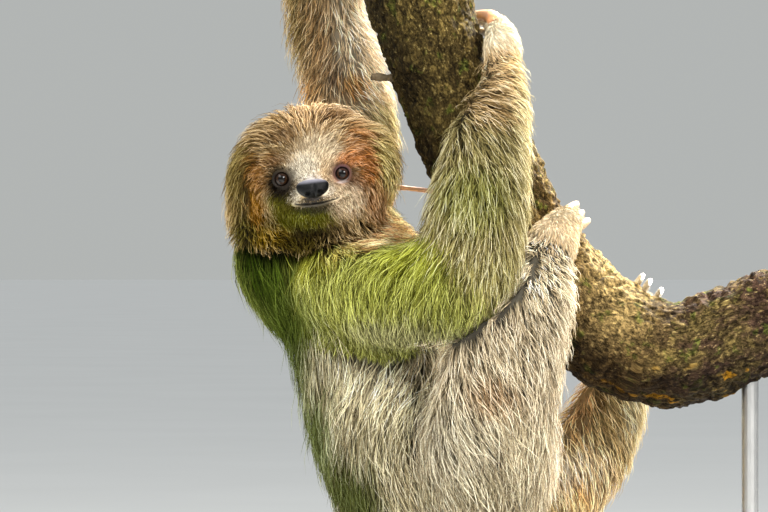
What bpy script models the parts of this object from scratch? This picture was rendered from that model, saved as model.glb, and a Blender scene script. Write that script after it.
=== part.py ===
"""A three-toed sloth clinging to a cut length of branch, on a plain display stand.

Every solid of the animal is drawn out to the tips of its coat. Metres, +Z up, +Y away from
the viewer, +X to the viewer's right. The origin is the middle of the stand's underside.
The animal's right side faces the viewer.
"""

import math

import bmesh
import bpy
from mathutils import Matrix, Vector

# ---- driving dimensions -------------------------------------------------------------------

GAP = 0.0003  # clearance between neighbouring solids
BEAD_STEP = 0.004  # spacing of the beads that a soft form is moulded from

# Soft forms as stations (x, y, z, radius): the bead's radius reaches the tips of the coat.
TRUNK = [
    (-0.122, 0.010, 0.302, 0.050),
    (-0.109, 0.006, 0.264, 0.054),
    (-0.097, 0.004, 0.228, 0.057),
    (-0.084, 0.002, 0.185, 0.061),
    (-0.064, 0.000, 0.142, 0.063),
    (-0.047, 0.000, 0.112, 0.063),
    (-0.030, 0.000, 0.097, 0.053),
]
CHEST = [(-0.118, 0.000, 0.282, 0.050), (-0.098, -0.004, 0.288, 0.043)]
MANTLE = [  # the long hair of the nape
    (-0.158, -0.004, 0.352, 0.042),
    (-0.155, 0.000, 0.330, 0.047),
    (-0.149, 0.003, 0.304, 0.050),
    (-0.133, 0.006, 0.277, 0.046),
    (-0.113, 0.006, 0.250, 0.040),
]
MANTLE_DEPTH = 0.85
THROAT = [(-0.134, -0.010, 0.335, 0.040), (-0.122, -0.004, 0.300, 0.044)]
TAIL = [(-0.092, 0.002, 0.098, 0.022), (-0.108, 0.003, 0.083, 0.019), (-0.120, 0.004, 0.071, 0.015)]

RIGHT_UPPER_ARM = [
    (-0.120, -0.036, 0.280, 0.034),
    (-0.078, -0.066, 0.272, 0.037),
    (-0.036, -0.084, 0.285, 0.037),
]
RIGHT_FOREARM = [
    (-0.031, -0.084, 0.308, 0.038),
    (-0.024, -0.074, 0.345, 0.0355),
    (-0.020, -0.062, 0.376, 0.032),
    (-0.012, -0.047, 0.405, 0.0245),
    (-0.009, -0.034, 0.427, 0.0185),
]
RIGHT_HAND = [
    (-0.008, -0.022, 0.447, 0.0145),
    (-0.010, -0.006, 0.460, 0.0105),
    (-0.0135, 0.008, 0.4645, 0.0080),
]
LEFT_UPPER_ARM = [
    (-0.122, 0.038, 0.312, 0.034),
    (-0.115, 0.060, 0.370, 0.037),
    (-0.117, 0.068, 0.420, 0.035),
    (-0.132, 0.072, 0.468, 0.032),
]
LEFT_FOREARM = [
    (-0.133, 0.072, 0.490, 0.031),
    (-0.121, 0.067, 0.521, 0.027),
    (-0.103, 0.060, 0.550, 0.022),
    (-0.085, 0.053, 0.570, 0.0175),
]
LEFT_HAND = [
    (-0.068, 0.043, 0.582, 0.0140),
    (-0.055, 0.029, 0.588, 0.0105),
    (-0.050, 0.018, 0.589, 0.0075),
]
RIGHT_THIGH = [
    (-0.034, -0.026, 0.116, 0.047),
    (-0.020, -0.050, 0.150, 0.050),
    (-0.014, -0.070, 0.195, 0.047),
]
RIGHT_SHANK = [
    (-0.008, -0.074, 0.232, 0.044),
    (0.009, -0.070, 0.268, 0.0345),
    (0.020, -0.062, 0.296, 0.0245),
]
RIGHT_FOOT = [
    (0.028, -0.052, 0.312, 0.0180),
    (0.035, -0.042, 0.3235, 0.0135),
    (0.041, -0.030, 0.3275, 0.0100),
]
LEFT_THIGH = [
    (-0.022, 0.028, 0.114, 0.045),
    (0.018, 0.046, 0.127, 0.038),
    (0.046, 0.056, 0.150, 0.035),
    (0.061, 0.062, 0.172, 0.034),
]
LEFT_SHANK = [
    (0.073, 0.065, 0.198, 0.028),
    (0.082, 0.062, 0.226, 0.022),
    (0.089, 0.057, 0.246, 0.0175),
]
LEFT_FOOT = [
    (0.092, 0.050, 0.258, 0.0140),
    (0.093, 0.042, 0.2665, 0.0110),
    (0.093, 0.034, 0.2705, 0.0085),
]
# Where the core is parted, and which way the cut-off part lies.
NECK_ROOT = (-0.128, 0.0, 0.286)
NECK_LIES = (-0.35, -0.10, 0.93)
HEAD_ROOT = (-0.144, 0.0, 0.328)
HEAD_LIES = (-0.20, -0.45, 0.87)
TAIL_ROOT = (-0.0945, 0.003, 0.0690)
TAIL_LIES = (-0.74, 0.04, -0.67)
LIMB_DEPTH = 0.80  # limbs are flatter front to back than they are wide

# Each limb: its nodes from the root out, and the run of stations that each one follows.
LIMB_LENGTHS = (
    (
        "right_arm",
        ("right_upper_arm", "right_forearm", "right_hand"),
        (RIGHT_UPPER_ARM, RIGHT_FOREARM, RIGHT_HAND),
    ),
    (
        "left_arm",
        ("left_upper_arm", "left_forearm", "left_hand"),
        (LEFT_UPPER_ARM, LEFT_FOREARM, LEFT_HAND),
    ),
    (
        "right_leg",
        ("right_thigh", "right_shank", "right_foot"),
        (RIGHT_THIGH, RIGHT_SHANK, RIGHT_FOOT),
    ),
    (
        "left_leg",
        ("left_thigh", "left_shank", "left_foot"),
        (LEFT_THIGH, LEFT_SHANK, LEFT_FOOT),
    ),
)

# The head, in its own frame: right, forward and up from the middle of the skull.
HEAD_AT = Vector((-0.1421, -0.024, 0.3616))
HEAD_ROLL = math.radians(6.6)  # the animal's left eye is the higher one
HEAD_FORMS = [
    ((0.000, -0.008, 0.001), (0.057, 0.042, 0.045)),  # crown and sides, with their long hair
    ((0.000, -0.016, -0.010), (0.0575, 0.034, 0.034)),  # hair over the ears
    ((0.000, 0.008, -0.004), (0.043, 0.032, 0.037)),  # disc of the face
    ((0.000, 0.016, 0.015), (0.030, 0.021, 0.015)),  # brow
    ((-0.019, 0.014, -0.017), (0.021, 0.024, 0.019)),  # cheeks
    ((0.019, 0.014, -0.017), (0.021, 0.024, 0.019)),
    ((0.000, 0.029, -0.0180), (0.0165, 0.0220, 0.0130)),  # muzzle
    ((0.000, 0.026, -0.0290), (0.0140, 0.0180, 0.0100)),  # lower jaw
    ((0.000, 0.013, -0.0330), (0.0250, 0.0220, 0.0120)),  # hair under the chin
]
HEAD_LOCKS = [  # long hair that leaves the round of the head
    [(-0.044, -0.006, 0.004, 0.014), (-0.049, -0.006, -0.018, 0.013), (-0.048, -0.004, -0.042, 0.012)],
    [(0.048, -0.006, 0.014, 0.013), (0.054, -0.006, -0.008, 0.012), (0.050, -0.004, -0.026, 0.008)],
]
EYE_SPREAD = 0.0222  # half the distance between the eyes
EYE_UP = -0.0053
EYE_FORWARD = 0.0330
EYE_RADIUS = 0.0062
NOSE_CENTRE = (0.0, 0.0475, -0.0145)
NOSE_SIZE = (0.0105, 0.0060, 0.0062)

# The branch, as stations along its middle from its top end.
BRANCH = [
    (-0.1106, 0.000, 0.6437, 0.0370),
    (-0.0945, 0.002, 0.5842, 0.0365),
    (-0.0791, 0.003, 0.5212, 0.0375),
    (-0.0658, 0.002, 0.4792, 0.0385),
    (-0.0550, 0.000, 0.4442, 0.0360),
    (-0.0420, 0.000, 0.4127, 0.0360),
    (-0.0245, 0.000, 0.3742, 0.0380),
    (-0.0056, 0.000, 0.3357, 0.0360),
    (0.0189, 0.000, 0.2958, 0.0360),
    (0.0539, 0.000, 0.2552, 0.0380),
    (0.0889, 0.000, 0.2352, 0.0390),
    (0.1239, 0.000, 0.2320, 0.0385),
    (0.1554, 0.000, 0.2450, 0.0370),
    (0.1785, 0.000, 0.2521, 0.0345),
    (0.1988, 0.000, 0.2555, 0.0335),
]
BRANCH_SIDES = 14
BRANCH_RINGS = 26
BARK_SWELL = 0.0011  # how far the bark's lumps leave the round
TWIGS = {
    "branch_twig_1": ((-0.0800, -0.004, 0.4238), (-0.0987, -0.006, 0.4253), 0.0021),
    "branch_twig_2": ((-0.0550, 0.006, 0.3452), (-0.0940, 0.010, 0.3500), 0.0018),
}

# Claws hook round the branch from the tips of their hand or foot: the angle they sweep, and
# how far they climb along the branch meanwhile (toward its lower right end is positive).
CLAWS = {
    "right_hand": (84, -0.016),
    "right_foot": (80, 0.000),
    "left_hand": (-84, -0.016),
    "left_foot": (-70, 0.000),
}
CLAWS_APART = 0.0080
CLAW_RINGS = 7
CLAW_SIDES = 6
CLAW_ROOT_INSIDE = 12  # degrees of its arc that a claw starts inside the toe
CLAW_ROOT = 0.0032
CLAW_TIP = 0.0009
CLAW_SLIM = 0.85  # a claw's width against its height
CLAW_ARCH = 0.0025  # how far its back arches off the bark
CLAW_LIFT = 0.0010  # least air between a claw and the bark

BASE_LENGTH = 0.370
BASE_DEPTH = 0.250
BASE_THICK = 0.015
BASE_CORNER = 0.030
ROD_RADIUS = 0.006
ROD_RUMP_AT = (-0.036, 0.000)
ROD_RUMP_TOP = 0.058
ROD_PERCH_AT = (0.166, 0.000)
ROD_PERCH_TOP = 0.222

# How finely the soft forms are moulded, and how many triangles they keep.
CORE_VOXEL = 0.0028
LIMB_VOXEL = 0.0035
CORE_TRIANGLES = 2300
LIMB_TRIANGLES = 410
SMOOTHING_ROUNDS = 4

# Plain finishes: colour, roughness, metallic.
COAT = ((0.43, 0.36, 0.22), 0.85)
PALE_COAT = ((0.62, 0.52, 0.38), 0.85)
CLAW = ((0.80, 0.74, 0.62), 0.45)
EYE = ((0.035, 0.018, 0.010), 0.10)
NOSE = ((0.030, 0.026, 0.026), 0.35)
BARK = ((0.16, 0.11, 0.05), 0.90)
WOOD = ((0.10, 0.055, 0.03), 0.45)
STEEL = ((0.35, 0.35, 0.36), 0.35, 1.0)

# ---- mesh helpers -------------------------------------------------------------------------


def smooth_path(stations, step):
    """Points (x, y, z, radius) about `step` apart on a Catmull-Rom curve through the stations."""
    rows = [Vector(s) for s in stations]
    rows = [2 * rows[0] - rows[1]] + rows + [2 * rows[-1] - rows[-2]]
    path = []
    for a, b, c, d in zip(rows, rows[1:], rows[2:], rows[3:]):
        count = max(1, round((c - b).length / step))
        for i in range(count):
            t = i / count
            bend = 2 * a - 5 * b + 4 * c - d
            turn = 3 * b - a - 3 * c + d
            path.append(0.5 * (2 * b + (c - a) * t + bend * t**2 + turn * t**3))
    path.append(rows[-2])
    return path


def colour_of(name, rgb, roughness, metallic=0.0):
    """A plain Principled material."""
    material = bpy.data.materials.new(name)
    material.use_nodes = True
    shader = material.node_tree.nodes["Principled BSDF"]
    shader.inputs["Base Color"].default_value = (*rgb, 1.0)
    shader.inputs["Roughness"].default_value = roughness
    shader.inputs["Metallic"].default_value = metallic
    return material


def node_from(bm, name, finish):
    """Closes the bmesh into a named object with its own copy of a finish (rgb, roughness, metallic)."""
    bmesh.ops.recalc_face_normals(bm, faces=bm.faces)
    mesh = bpy.data.meshes.new(name)
    bm.to_mesh(mesh)
    bm.free()
    obj = bpy.data.objects.new(name, mesh)
    bpy.context.scene.collection.objects.link(obj)
    if finish is not None:
        mesh.materials.append(colour_of(name, *finish))
    return obj


def applied(obj):
    """Replaces an object's mesh by the one its modifiers make, and clears them."""
    bpy.context.view_layer.update()
    mesh = bpy.data.meshes.new_from_object(obj.evaluated_get(bpy.context.evaluated_depsgraph_get()))
    obj.modifiers.clear()
    obj.data = mesh
    return obj


def bead(bm, at, radii, turn=None, detail=3):
    """An ellipsoid, which a voxel mesh later melts into its neighbours."""
    placed = Matrix.Translation(at)
    if turn is not None:
        placed = placed @ turn
    placed = placed @ Matrix.Diagonal((*radii, 1.0))
    bmesh.ops.create_icosphere(bm, subdivisions=detail, radius=1.0, matrix=placed)


def string_beads(bm, stations, depth=LIMB_DEPTH):
    """A row of beads along a curve, flattened front to back."""
    for x, y, z, r in smooth_path(stations, BEAD_STEP):
        bead(bm, (x, y, z), (r, r * depth, r))


def moulded(bm, name, voxel, triangles, finish):
    """Melts the beads into one soft closed form of about so many triangles."""
    obj = node_from(bm, name, finish)
    melt = obj.modifiers.new("melt", "REMESH")
    melt.mode = "VOXEL"
    melt.voxel_size = voxel
    ease = obj.modifiers.new("ease", "SMOOTH")
    ease.factor = 0.5
    ease.iterations = SMOOTHING_ROUNDS
    applied(obj)
    thin = obj.modifiers.new("thin", "DECIMATE")
    thin.ratio = min(1.0, triangles / sum(len(f.vertices) - 2 for f in obj.data.polygons))
    return applied(obj)


def swollen(obj, amount=GAP):
    """A hidden cutter: the object's shape, grown a little along its normals."""
    cutter = bpy.data.objects.new(obj.name + "_cutter", obj.data.copy())
    bpy.context.scene.collection.objects.link(cutter)
    for vertex, normal in zip(cutter.data.vertices, [n.vector.copy() for n in obj.data.vertex_normals]):
        vertex.co += amount * normal
    cutter.hide_render = True
    cutter.display_type = "WIRE"
    return cutter


def carve(obj, cutter):
    """Cuts one closed solid by another, then drops the cutter and any loose crumbs."""
    cut = obj.modifiers.new("cut", "BOOLEAN")
    cut.operation = "DIFFERENCE"
    cut.object = cutter
    cut.solver = "EXACT"
    applied(obj)
    bpy.data.objects.remove(cutter)
    keep_largest(obj)
    return obj


def islands(bm):
    """The mesh's separate bodies, as sets of vertices."""
    left = set(bm.verts)
    found = []
    while left:
        front = [left.pop()]
        body = set(front)
        while front:
            vertex = front.pop()
            for edge in vertex.link_edges:
                other = edge.other_vert(vertex)
                if other in left:
                    left.discard(other)
                    body.add(other)
                    front.append(other)
        found.append(body)
    return found


def keep_largest(obj):
    """Keeps the largest body of a mesh and tidies slivers."""
    bm = bmesh.new()
    bm.from_mesh(obj.data)
    bmesh.ops.remove_doubles(bm, verts=bm.verts, dist=0.00002)
    bodies = sorted(islands(bm), key=len)
    for body in bodies[:-1]:
        bmesh.ops.delete(bm, geom=list(body), context="VERTS")
    bmesh.ops.triangulate(bm, faces=bm.faces)
    bm.to_mesh(obj.data)
    bm.free()


def half_space(at, normal, side):
    """A hidden cutter: a large block that covers everything on one side of a plane."""
    size = 1.0
    turn = Vector(normal).to_track_quat("Z", "Y").to_matrix().to_4x4()
    shift = Matrix.Translation((0.0, 0.0, side * (size / 2 - GAP / 2)))
    bm = bmesh.new()
    bmesh.ops.create_cube(bm, size=size, matrix=Matrix.Translation(at) @ turn @ shift)
    cutter = node_from(bm, "half_cutter", None)
    cutter.hide_render = True
    cutter.display_type = "WIRE"
    return cutter


def parted(obj, at, normal, name, finish):
    """Parts a solid by a thin plane cut: obj keeps the side behind the plane, and the side
    ahead of it becomes a new node."""
    ahead = bpy.data.objects.new(name, obj.data.copy())
    bpy.context.scene.collection.objects.link(ahead)
    ahead.data.materials.clear()
    ahead.data.materials.append(colour_of(name, *finish))
    carve(obj, half_space(at, normal, 1))
    carve(ahead, half_space(at, normal, -1))
    return ahead


def joint_plane(before, after):
    """Where two strings of stations meet, and the direction between their runs."""
    a, b = Vector(before[-2][:3]), Vector(before[-1][:3])
    c, d = Vector(after[0][:3]), Vector(after[1][:3])
    return (b + c) / 2, ((b - a).normalized() + (d - c).normalized()).normalized()


# ---- the branch ---------------------------------------------------------------------------


def branch_path():
    """The branch's middle: evenly spaced (x, y, z, radius) from its top end to its right end."""
    fine = smooth_path(BRANCH, 0.002)
    along = [0.0]
    for a, b in zip(fine, fine[1:]):
        along.append(along[-1] + (b.xyz - a.xyz).length)
    path = []
    i = 0
    for ring in range(BRANCH_RINGS + 1):
        target = along[-1] * ring / BRANCH_RINGS
        while i < len(along) - 2 and along[i + 1] < target:
            i += 1
        share = (target - along[i]) / (along[i + 1] - along[i])
        path.append(fine[i].lerp(fine[i + 1], share))
    return path


def branch_at(share):
    """(middle, along, front, side, radius) at a share of the branch's length. Front is toward
    the viewer and side is toward the upper right."""
    path = branch_path()
    place = share * (len(path) - 1)
    i = min(int(place), len(path) - 2)
    spot = path[i].lerp(path[i + 1], place - i)
    run = path[i + 1].xyz - path[i].xyz
    before = run if i == 0 else path[i + 1].xyz - path[i - 1].xyz
    after = run if i == len(path) - 2 else path[i + 2].xyz - path[i].xyz
    ahead = before.normalized().lerp(after.normalized(), place - i).normalized()
    front = Vector((0.0, -1.0, 0.0))
    front = (front - front.dot(ahead) * ahead).normalized()
    return spot.xyz, ahead, front, front.cross(ahead).normalized(), spot.w


def add_branch():
    """A tapered round that bends, with low lumps, cut flat at both ends."""
    bm = bmesh.new()
    rings = []
    for i in range(BRANCH_RINGS + 1):
        middle, _, front, side, radius = branch_at(i / BRANCH_RINGS)
        ring = []
        for k in range(BRANCH_SIDES):
            turn = math.tau * k / BRANCH_SIDES
            swell = BARK_SWELL * (math.sin(2 * turn + 0.9 * i) + math.sin(3 * turn - 0.55 * i))
            outward = math.cos(turn) * front + math.sin(turn) * side
            ring.append(bm.verts.new(middle + (radius + swell) * outward))
        rings.append(ring)
    for low, high in zip(rings, rings[1:]):
        for k in range(BRANCH_SIDES):
            after = (k + 1) % BRANCH_SIDES
            bm.faces.new((low[k], low[after], high[after], high[k]))
    bm.faces.new(rings[0])
    bm.faces.new(rings[-1])
    bmesh.ops.triangulate(bm, faces=bm.faces)
    return node_from(bm, "branch", BARK)


def rod(name, start, end, radius, finish, sides=16):
    """A straight round rod between two points."""
    start = Vector(start)
    end = Vector(end)
    turn = (end - start).to_track_quat("Z", "Y").to_matrix().to_4x4()
    bm = bmesh.new()
    bmesh.ops.create_cone(
        bm,
        cap_ends=True,
        segments=sides,
        radius1=radius,
        radius2=radius,
        depth=(end - start).length,
        matrix=Matrix.Translation((start + end) / 2) @ turn,
    )
    obj = node_from(bm, name, finish)
    obj.data.shade_smooth()
    obj.data.set_sharp_from_angle(angle=math.radians(40))
    return obj


# ---- the claws ----------------------------------------------------------------------------


def branch_share(point):
    """The share of the branch's length whose middle is nearest to a point."""
    path = branch_path()
    best = min(range(len(path)), key=lambda i: (path[i].xyz - point).length)
    shares = [(best + k / 10) / (len(path) - 1) for k in range(-10, 11)]
    shares = [min(max(share, 0.0), 1.0) for share in shares]
    return min(shares, key=lambda share: (branch_at(share)[0] - point).length)


def add_claw(name, share, first, sweep, climb):
    """A hooked claw: a tapered round on an arc about the branch, pointed at its tip."""
    bm = bmesh.new()
    loops = []
    for i in range(CLAW_RINGS):
        t = i / (CLAW_RINGS - 1)
        middle, ahead, front, side, radius = branch_at(share + climb * t)
        turn = math.radians(first + sweep * t)
        thick = CLAW_ROOT + (CLAW_TIP - CLAW_ROOT) * t**1.6
        arch = CLAW_ARCH * math.sin(math.pi * t)
        outward = math.cos(turn) * front + math.sin(turn) * side
        lift = radius + 2 * BARK_SWELL + CLAW_LIFT + thick + arch
        loop = []
        for k in range(CLAW_SIDES):
            around = math.tau * k / CLAW_SIDES
            offset = thick * (math.cos(around) * outward + CLAW_SLIM * math.sin(around) * ahead)
            loop.append(bm.verts.new(middle + lift * outward + offset))
        loops.append(loop)
    for low, high in zip(loops, loops[1:]):
        for k in range(CLAW_SIDES):
            after = (k + 1) % CLAW_SIDES
            bm.faces.new((low[k], low[after], high[after], high[k]))
    bm.faces.new(loops[0])
    bm.faces.new(loops[-1])
    bmesh.ops.triangulate(bm, faces=bm.faces)
    return node_from(bm, name, CLAW)


def add_claws(limb, toes):
    """The three claws of one hand or foot, side by side along the branch from its toes."""
    sweep, climb = CLAWS[limb]
    path = branch_path()
    length = sum((b.xyz - a.xyz).length for a, b in zip(path, path[1:]))
    share = branch_share(toes)
    middle, _, front, side, _ = branch_at(share)
    reach = toes - middle
    first = math.degrees(math.atan2(reach.dot(side), reach.dot(front)))
    first -= math.copysign(CLAW_ROOT_INSIDE, sweep)
    claws = []
    for k in range(3):
        place = share + (k - 1) * CLAWS_APART / length
        claws.append(add_claw(f"{limb}_claw_{k + 1}", place, first, sweep, climb / length))
    return claws


# ---- the animal ---------------------------------------------------------------------------


def head_frame():
    """The head's own frame as a matrix: right, forward (to the viewer) and up."""
    axes = Matrix(((1, 0, 0), (0, -1, 0), (0, 0, 1))).to_4x4()
    return Matrix.Translation(HEAD_AT) @ Matrix.Rotation(-HEAD_ROLL, 4, "Y") @ axes


def add_core():
    """Head, neck, trunk and tail as one soft form."""
    frame = head_frame()
    turn = frame.to_3x3().to_4x4()
    bm = bmesh.new()
    for stations in (TRUNK, CHEST, THROAT, TAIL):
        string_beads(bm, stations, depth=1.0)
    string_beads(bm, MANTLE, depth=MANTLE_DEPTH)
    for at, radii in HEAD_FORMS:
        bead(bm, frame @ Vector(at), radii, turn, detail=4)
    for lock in HEAD_LOCKS:
        placed = [(*(frame @ Vector(s[:3])), s[3]) for s in lock]
        string_beads(bm, placed, depth=1.2)
    return moulded(bm, "trunk", CORE_VOXEL, CORE_TRIANGLES, COAT)


def add_limbs(core, branch, claws):
    """The four limbs, each cut back from the core, the branch, its claws and the limbs before it."""
    limbs = {}
    for name, _, runs in LIMB_LENGTHS:
        bm = bmesh.new()
        string_beads(bm, [station for run in runs for station in run])
        limb = moulded(bm, name, LIMB_VOXEL, LIMB_TRIANGLES, COAT)
        for other in (core, branch, *claws[name], *limbs.values()):
            carve(limb, swollen(other))
        limbs[name] = limb
    return limbs


def part_limb(limb, names, runs):
    """Parts a limb where its runs of stations meet, and names the lengths root first."""
    piece = limb
    piece.name = names[0]
    for name, before, after in zip(names[1:], runs, runs[1:]):
        finish = PALE_COAT if name.endswith(("hand", "foot")) else COAT
        at, normal = joint_plane(before, after)
        piece = parted(piece, at, normal, name, finish)


def add_face(head):
    """Eyes and the nose pad, each in a pocket of its own."""
    frame = head_frame()
    turn = frame.to_3x3().to_4x4()
    for name, sideways in (("right_eye", -EYE_SPREAD), ("left_eye", EYE_SPREAD)):
        at = frame @ Vector((sideways, EYE_FORWARD, EYE_UP))
        bm = bmesh.new()
        bead(bm, at, (EYE_RADIUS,) * 3, detail=2)
        carve(head, swollen(node_from(bm, name, EYE)))
    bm = bmesh.new()
    bead(bm, frame @ Vector(NOSE_CENTRE), NOSE_SIZE, turn, detail=2)
    carve(head, swollen(node_from(bm, "nose", NOSE)))


def add_base():
    """The stand's flat plate, with round corners and an eased top edge."""
    bm = bmesh.new()
    scale = Matrix.Diagonal((BASE_LENGTH, BASE_DEPTH, BASE_THICK, 1.0))
    bmesh.ops.create_cube(bm, size=1.0, matrix=Matrix.Translation((0, 0, BASE_THICK / 2)) @ scale)
    uprights = [e for e in bm.edges if abs(e.verts[0].co.z - e.verts[1].co.z) > BASE_THICK / 2]
    bmesh.ops.bevel(
        bm, geom=uprights, offset=BASE_CORNER, segments=5, affect="EDGES", profile=0.5, material=-1
    )
    top = [e for e in bm.edges if all(v.co.z > BASE_THICK * 0.99 for v in e.verts)]
    bmesh.ops.bevel(bm, geom=top, offset=0.0025, segments=2, affect="EDGES", profile=0.5, material=-1)
    bmesh.ops.triangulate(bm, faces=bm.faces)
    return node_from(bm, "stand_base", WOOD)


def build():
    """The whole model."""
    for obj in list(bpy.data.objects):
        bpy.data.objects.remove(obj)

    branch = add_branch()
    claws = {}
    for limb, names, runs in LIMB_LENGTHS:
        claws[limb] = add_claws(names[-1], Vector(runs[-1][-1][:3]))
    core = add_core()
    limbs = add_limbs(core, branch, claws)

    add_base()
    for name, at, top, held in (
        ("stand_rod_body", ROD_RUMP_AT, ROD_RUMP_TOP, core),
        ("stand_rod_perch", ROD_PERCH_AT, ROD_PERCH_TOP, branch),
    ):
        upright = rod(name, (*at, BASE_THICK + GAP), (*at, top), ROD_RADIUS, STEEL)
        carve(held, swollen(upright))
    for name, (start, end, radius) in TWIGS.items():
        twig = rod(name, start, end, radius, BARK, sides=8)
        carve(twig, swollen(branch))
        carve(twig, swollen(core))

    neck = parted(core, NECK_ROOT, NECK_LIES, "neck", COAT)
    head = parted(neck, HEAD_ROOT, HEAD_LIES, "head", COAT)
    parted(core, TAIL_ROOT, TAIL_LIES, "tail", COAT)
    add_face(head)

    for limb, names, runs in LIMB_LENGTHS:
        part_limb(limbs[limb], names, runs)


build()
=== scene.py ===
# %% [markdown]
# A three-toed sloth clinging to a length of branch, on a plain museum stand, life size.
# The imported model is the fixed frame. Its flesh solids reach the tips of the coat, so this script
# draws one skin inside them, and grows the coat outward from the skin as thousands of thin tufts.
# Eyes, nose pad, claws, bark and stand are separate pieces round the same frame.

# %% Load the frame
import math
from collections import namedtuple

import bmesh
import bpy
import numpy as np
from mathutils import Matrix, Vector, noise
from mathutils.bvhtree import BVHTree
from mathutils.kdtree import KDTree


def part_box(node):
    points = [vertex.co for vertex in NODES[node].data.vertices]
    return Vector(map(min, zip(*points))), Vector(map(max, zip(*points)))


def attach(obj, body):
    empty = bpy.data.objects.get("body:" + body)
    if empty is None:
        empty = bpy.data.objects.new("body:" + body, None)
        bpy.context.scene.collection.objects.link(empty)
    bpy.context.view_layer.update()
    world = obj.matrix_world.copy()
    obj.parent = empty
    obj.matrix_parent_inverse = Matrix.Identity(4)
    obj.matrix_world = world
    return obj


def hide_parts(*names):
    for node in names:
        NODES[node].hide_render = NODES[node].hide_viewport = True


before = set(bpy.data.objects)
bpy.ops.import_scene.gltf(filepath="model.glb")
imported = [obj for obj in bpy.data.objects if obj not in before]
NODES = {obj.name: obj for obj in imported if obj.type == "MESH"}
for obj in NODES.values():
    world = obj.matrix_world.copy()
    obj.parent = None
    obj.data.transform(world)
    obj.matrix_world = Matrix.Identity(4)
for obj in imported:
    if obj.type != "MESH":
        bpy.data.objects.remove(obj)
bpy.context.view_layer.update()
MM = 0.001

# %% [markdown]
# The camera stands well back with a long lens, level with the animal, which keeps its proportions
# true. The stage is one large pale floor. The sky round it is the soft light, a little brighter
# overhead, and it meets the floor without a line. Three large lamps give the form its light side,
# and the rim of light along the back of a furry edge.

# %% Camera, floor and lamps
CAMERA_BACK = 3.5
CAMERA_AIM = Vector((-0.0903, 0.0, 0.300))
VIEW_WIDTH = 0.5376  # width of what the camera takes in, at the animal
SENSOR = 36.0
FLOOR_REACH = 60.0
SKY_OVERHEAD = (0.92, 0.96, 1.00)
SKY_LEVEL = (0.56, 0.58, 0.57)
SKY_STRENGTH = 0.80


def linked(name, data):
    """A new object of the scene, at the origin."""
    obj = bpy.data.objects.new(name, data)
    bpy.context.scene.collection.objects.link(obj)
    return obj


def add_camera():
    lens = bpy.data.cameras.new("camera")
    lens.sensor_width = SENSOR
    lens.lens = SENSOR * CAMERA_BACK / VIEW_WIDTH
    lens.clip_end = 100.0
    camera = linked("camera", lens)
    camera.location = CAMERA_AIM + Vector((0.0, -CAMERA_BACK, 0.0))
    camera.rotation_euler = (math.radians(90.0), 0.0, 0.0)
    bpy.context.scene.camera = camera


def add_lamp(name, at, aim, size, watts, colour, spread=180.0):
    """A square lamp turned toward the animal; a small spread keeps its light off the floor."""
    lamp = bpy.data.lights.new(name, "AREA")
    lamp.size = size
    lamp.spread = math.radians(spread)
    lamp.energy = watts
    lamp.color = colour
    obj = linked(name, lamp)
    obj.location = at
    obj.rotation_euler = (Vector(aim) - Vector(at)).to_track_quat("-Z", "Y").to_euler()


add_camera()
add_lamp("lamp_key", (1.3, -1.9, 1.7), (-0.05, 0, 0.30), 0.9, 96.0, (1.0, 0.97, 0.92))
add_lamp("lamp_fill", (-1.2, -1.3, 1.9), (-0.05, 0, 0.30), 1.2, 32.0, (0.97, 1.0, 0.95))
add_lamp("lamp_rim", (0.9, 1.4, 1.8), (-0.05, 0, 0.32), 0.8, 44.0, (1.0, 0.98, 0.92), 50.0)
bpy.context.scene.view_settings.view_transform = "Standard"
print("camera", round(CAMERA_BACK, 2), "m back")

# %% [markdown]
# Shader maths reads best as plain sums. This small class wraps a socket, and an expression on it
# adds the Math nodes. Colours go through Mix, and any other node comes from one method.

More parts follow.
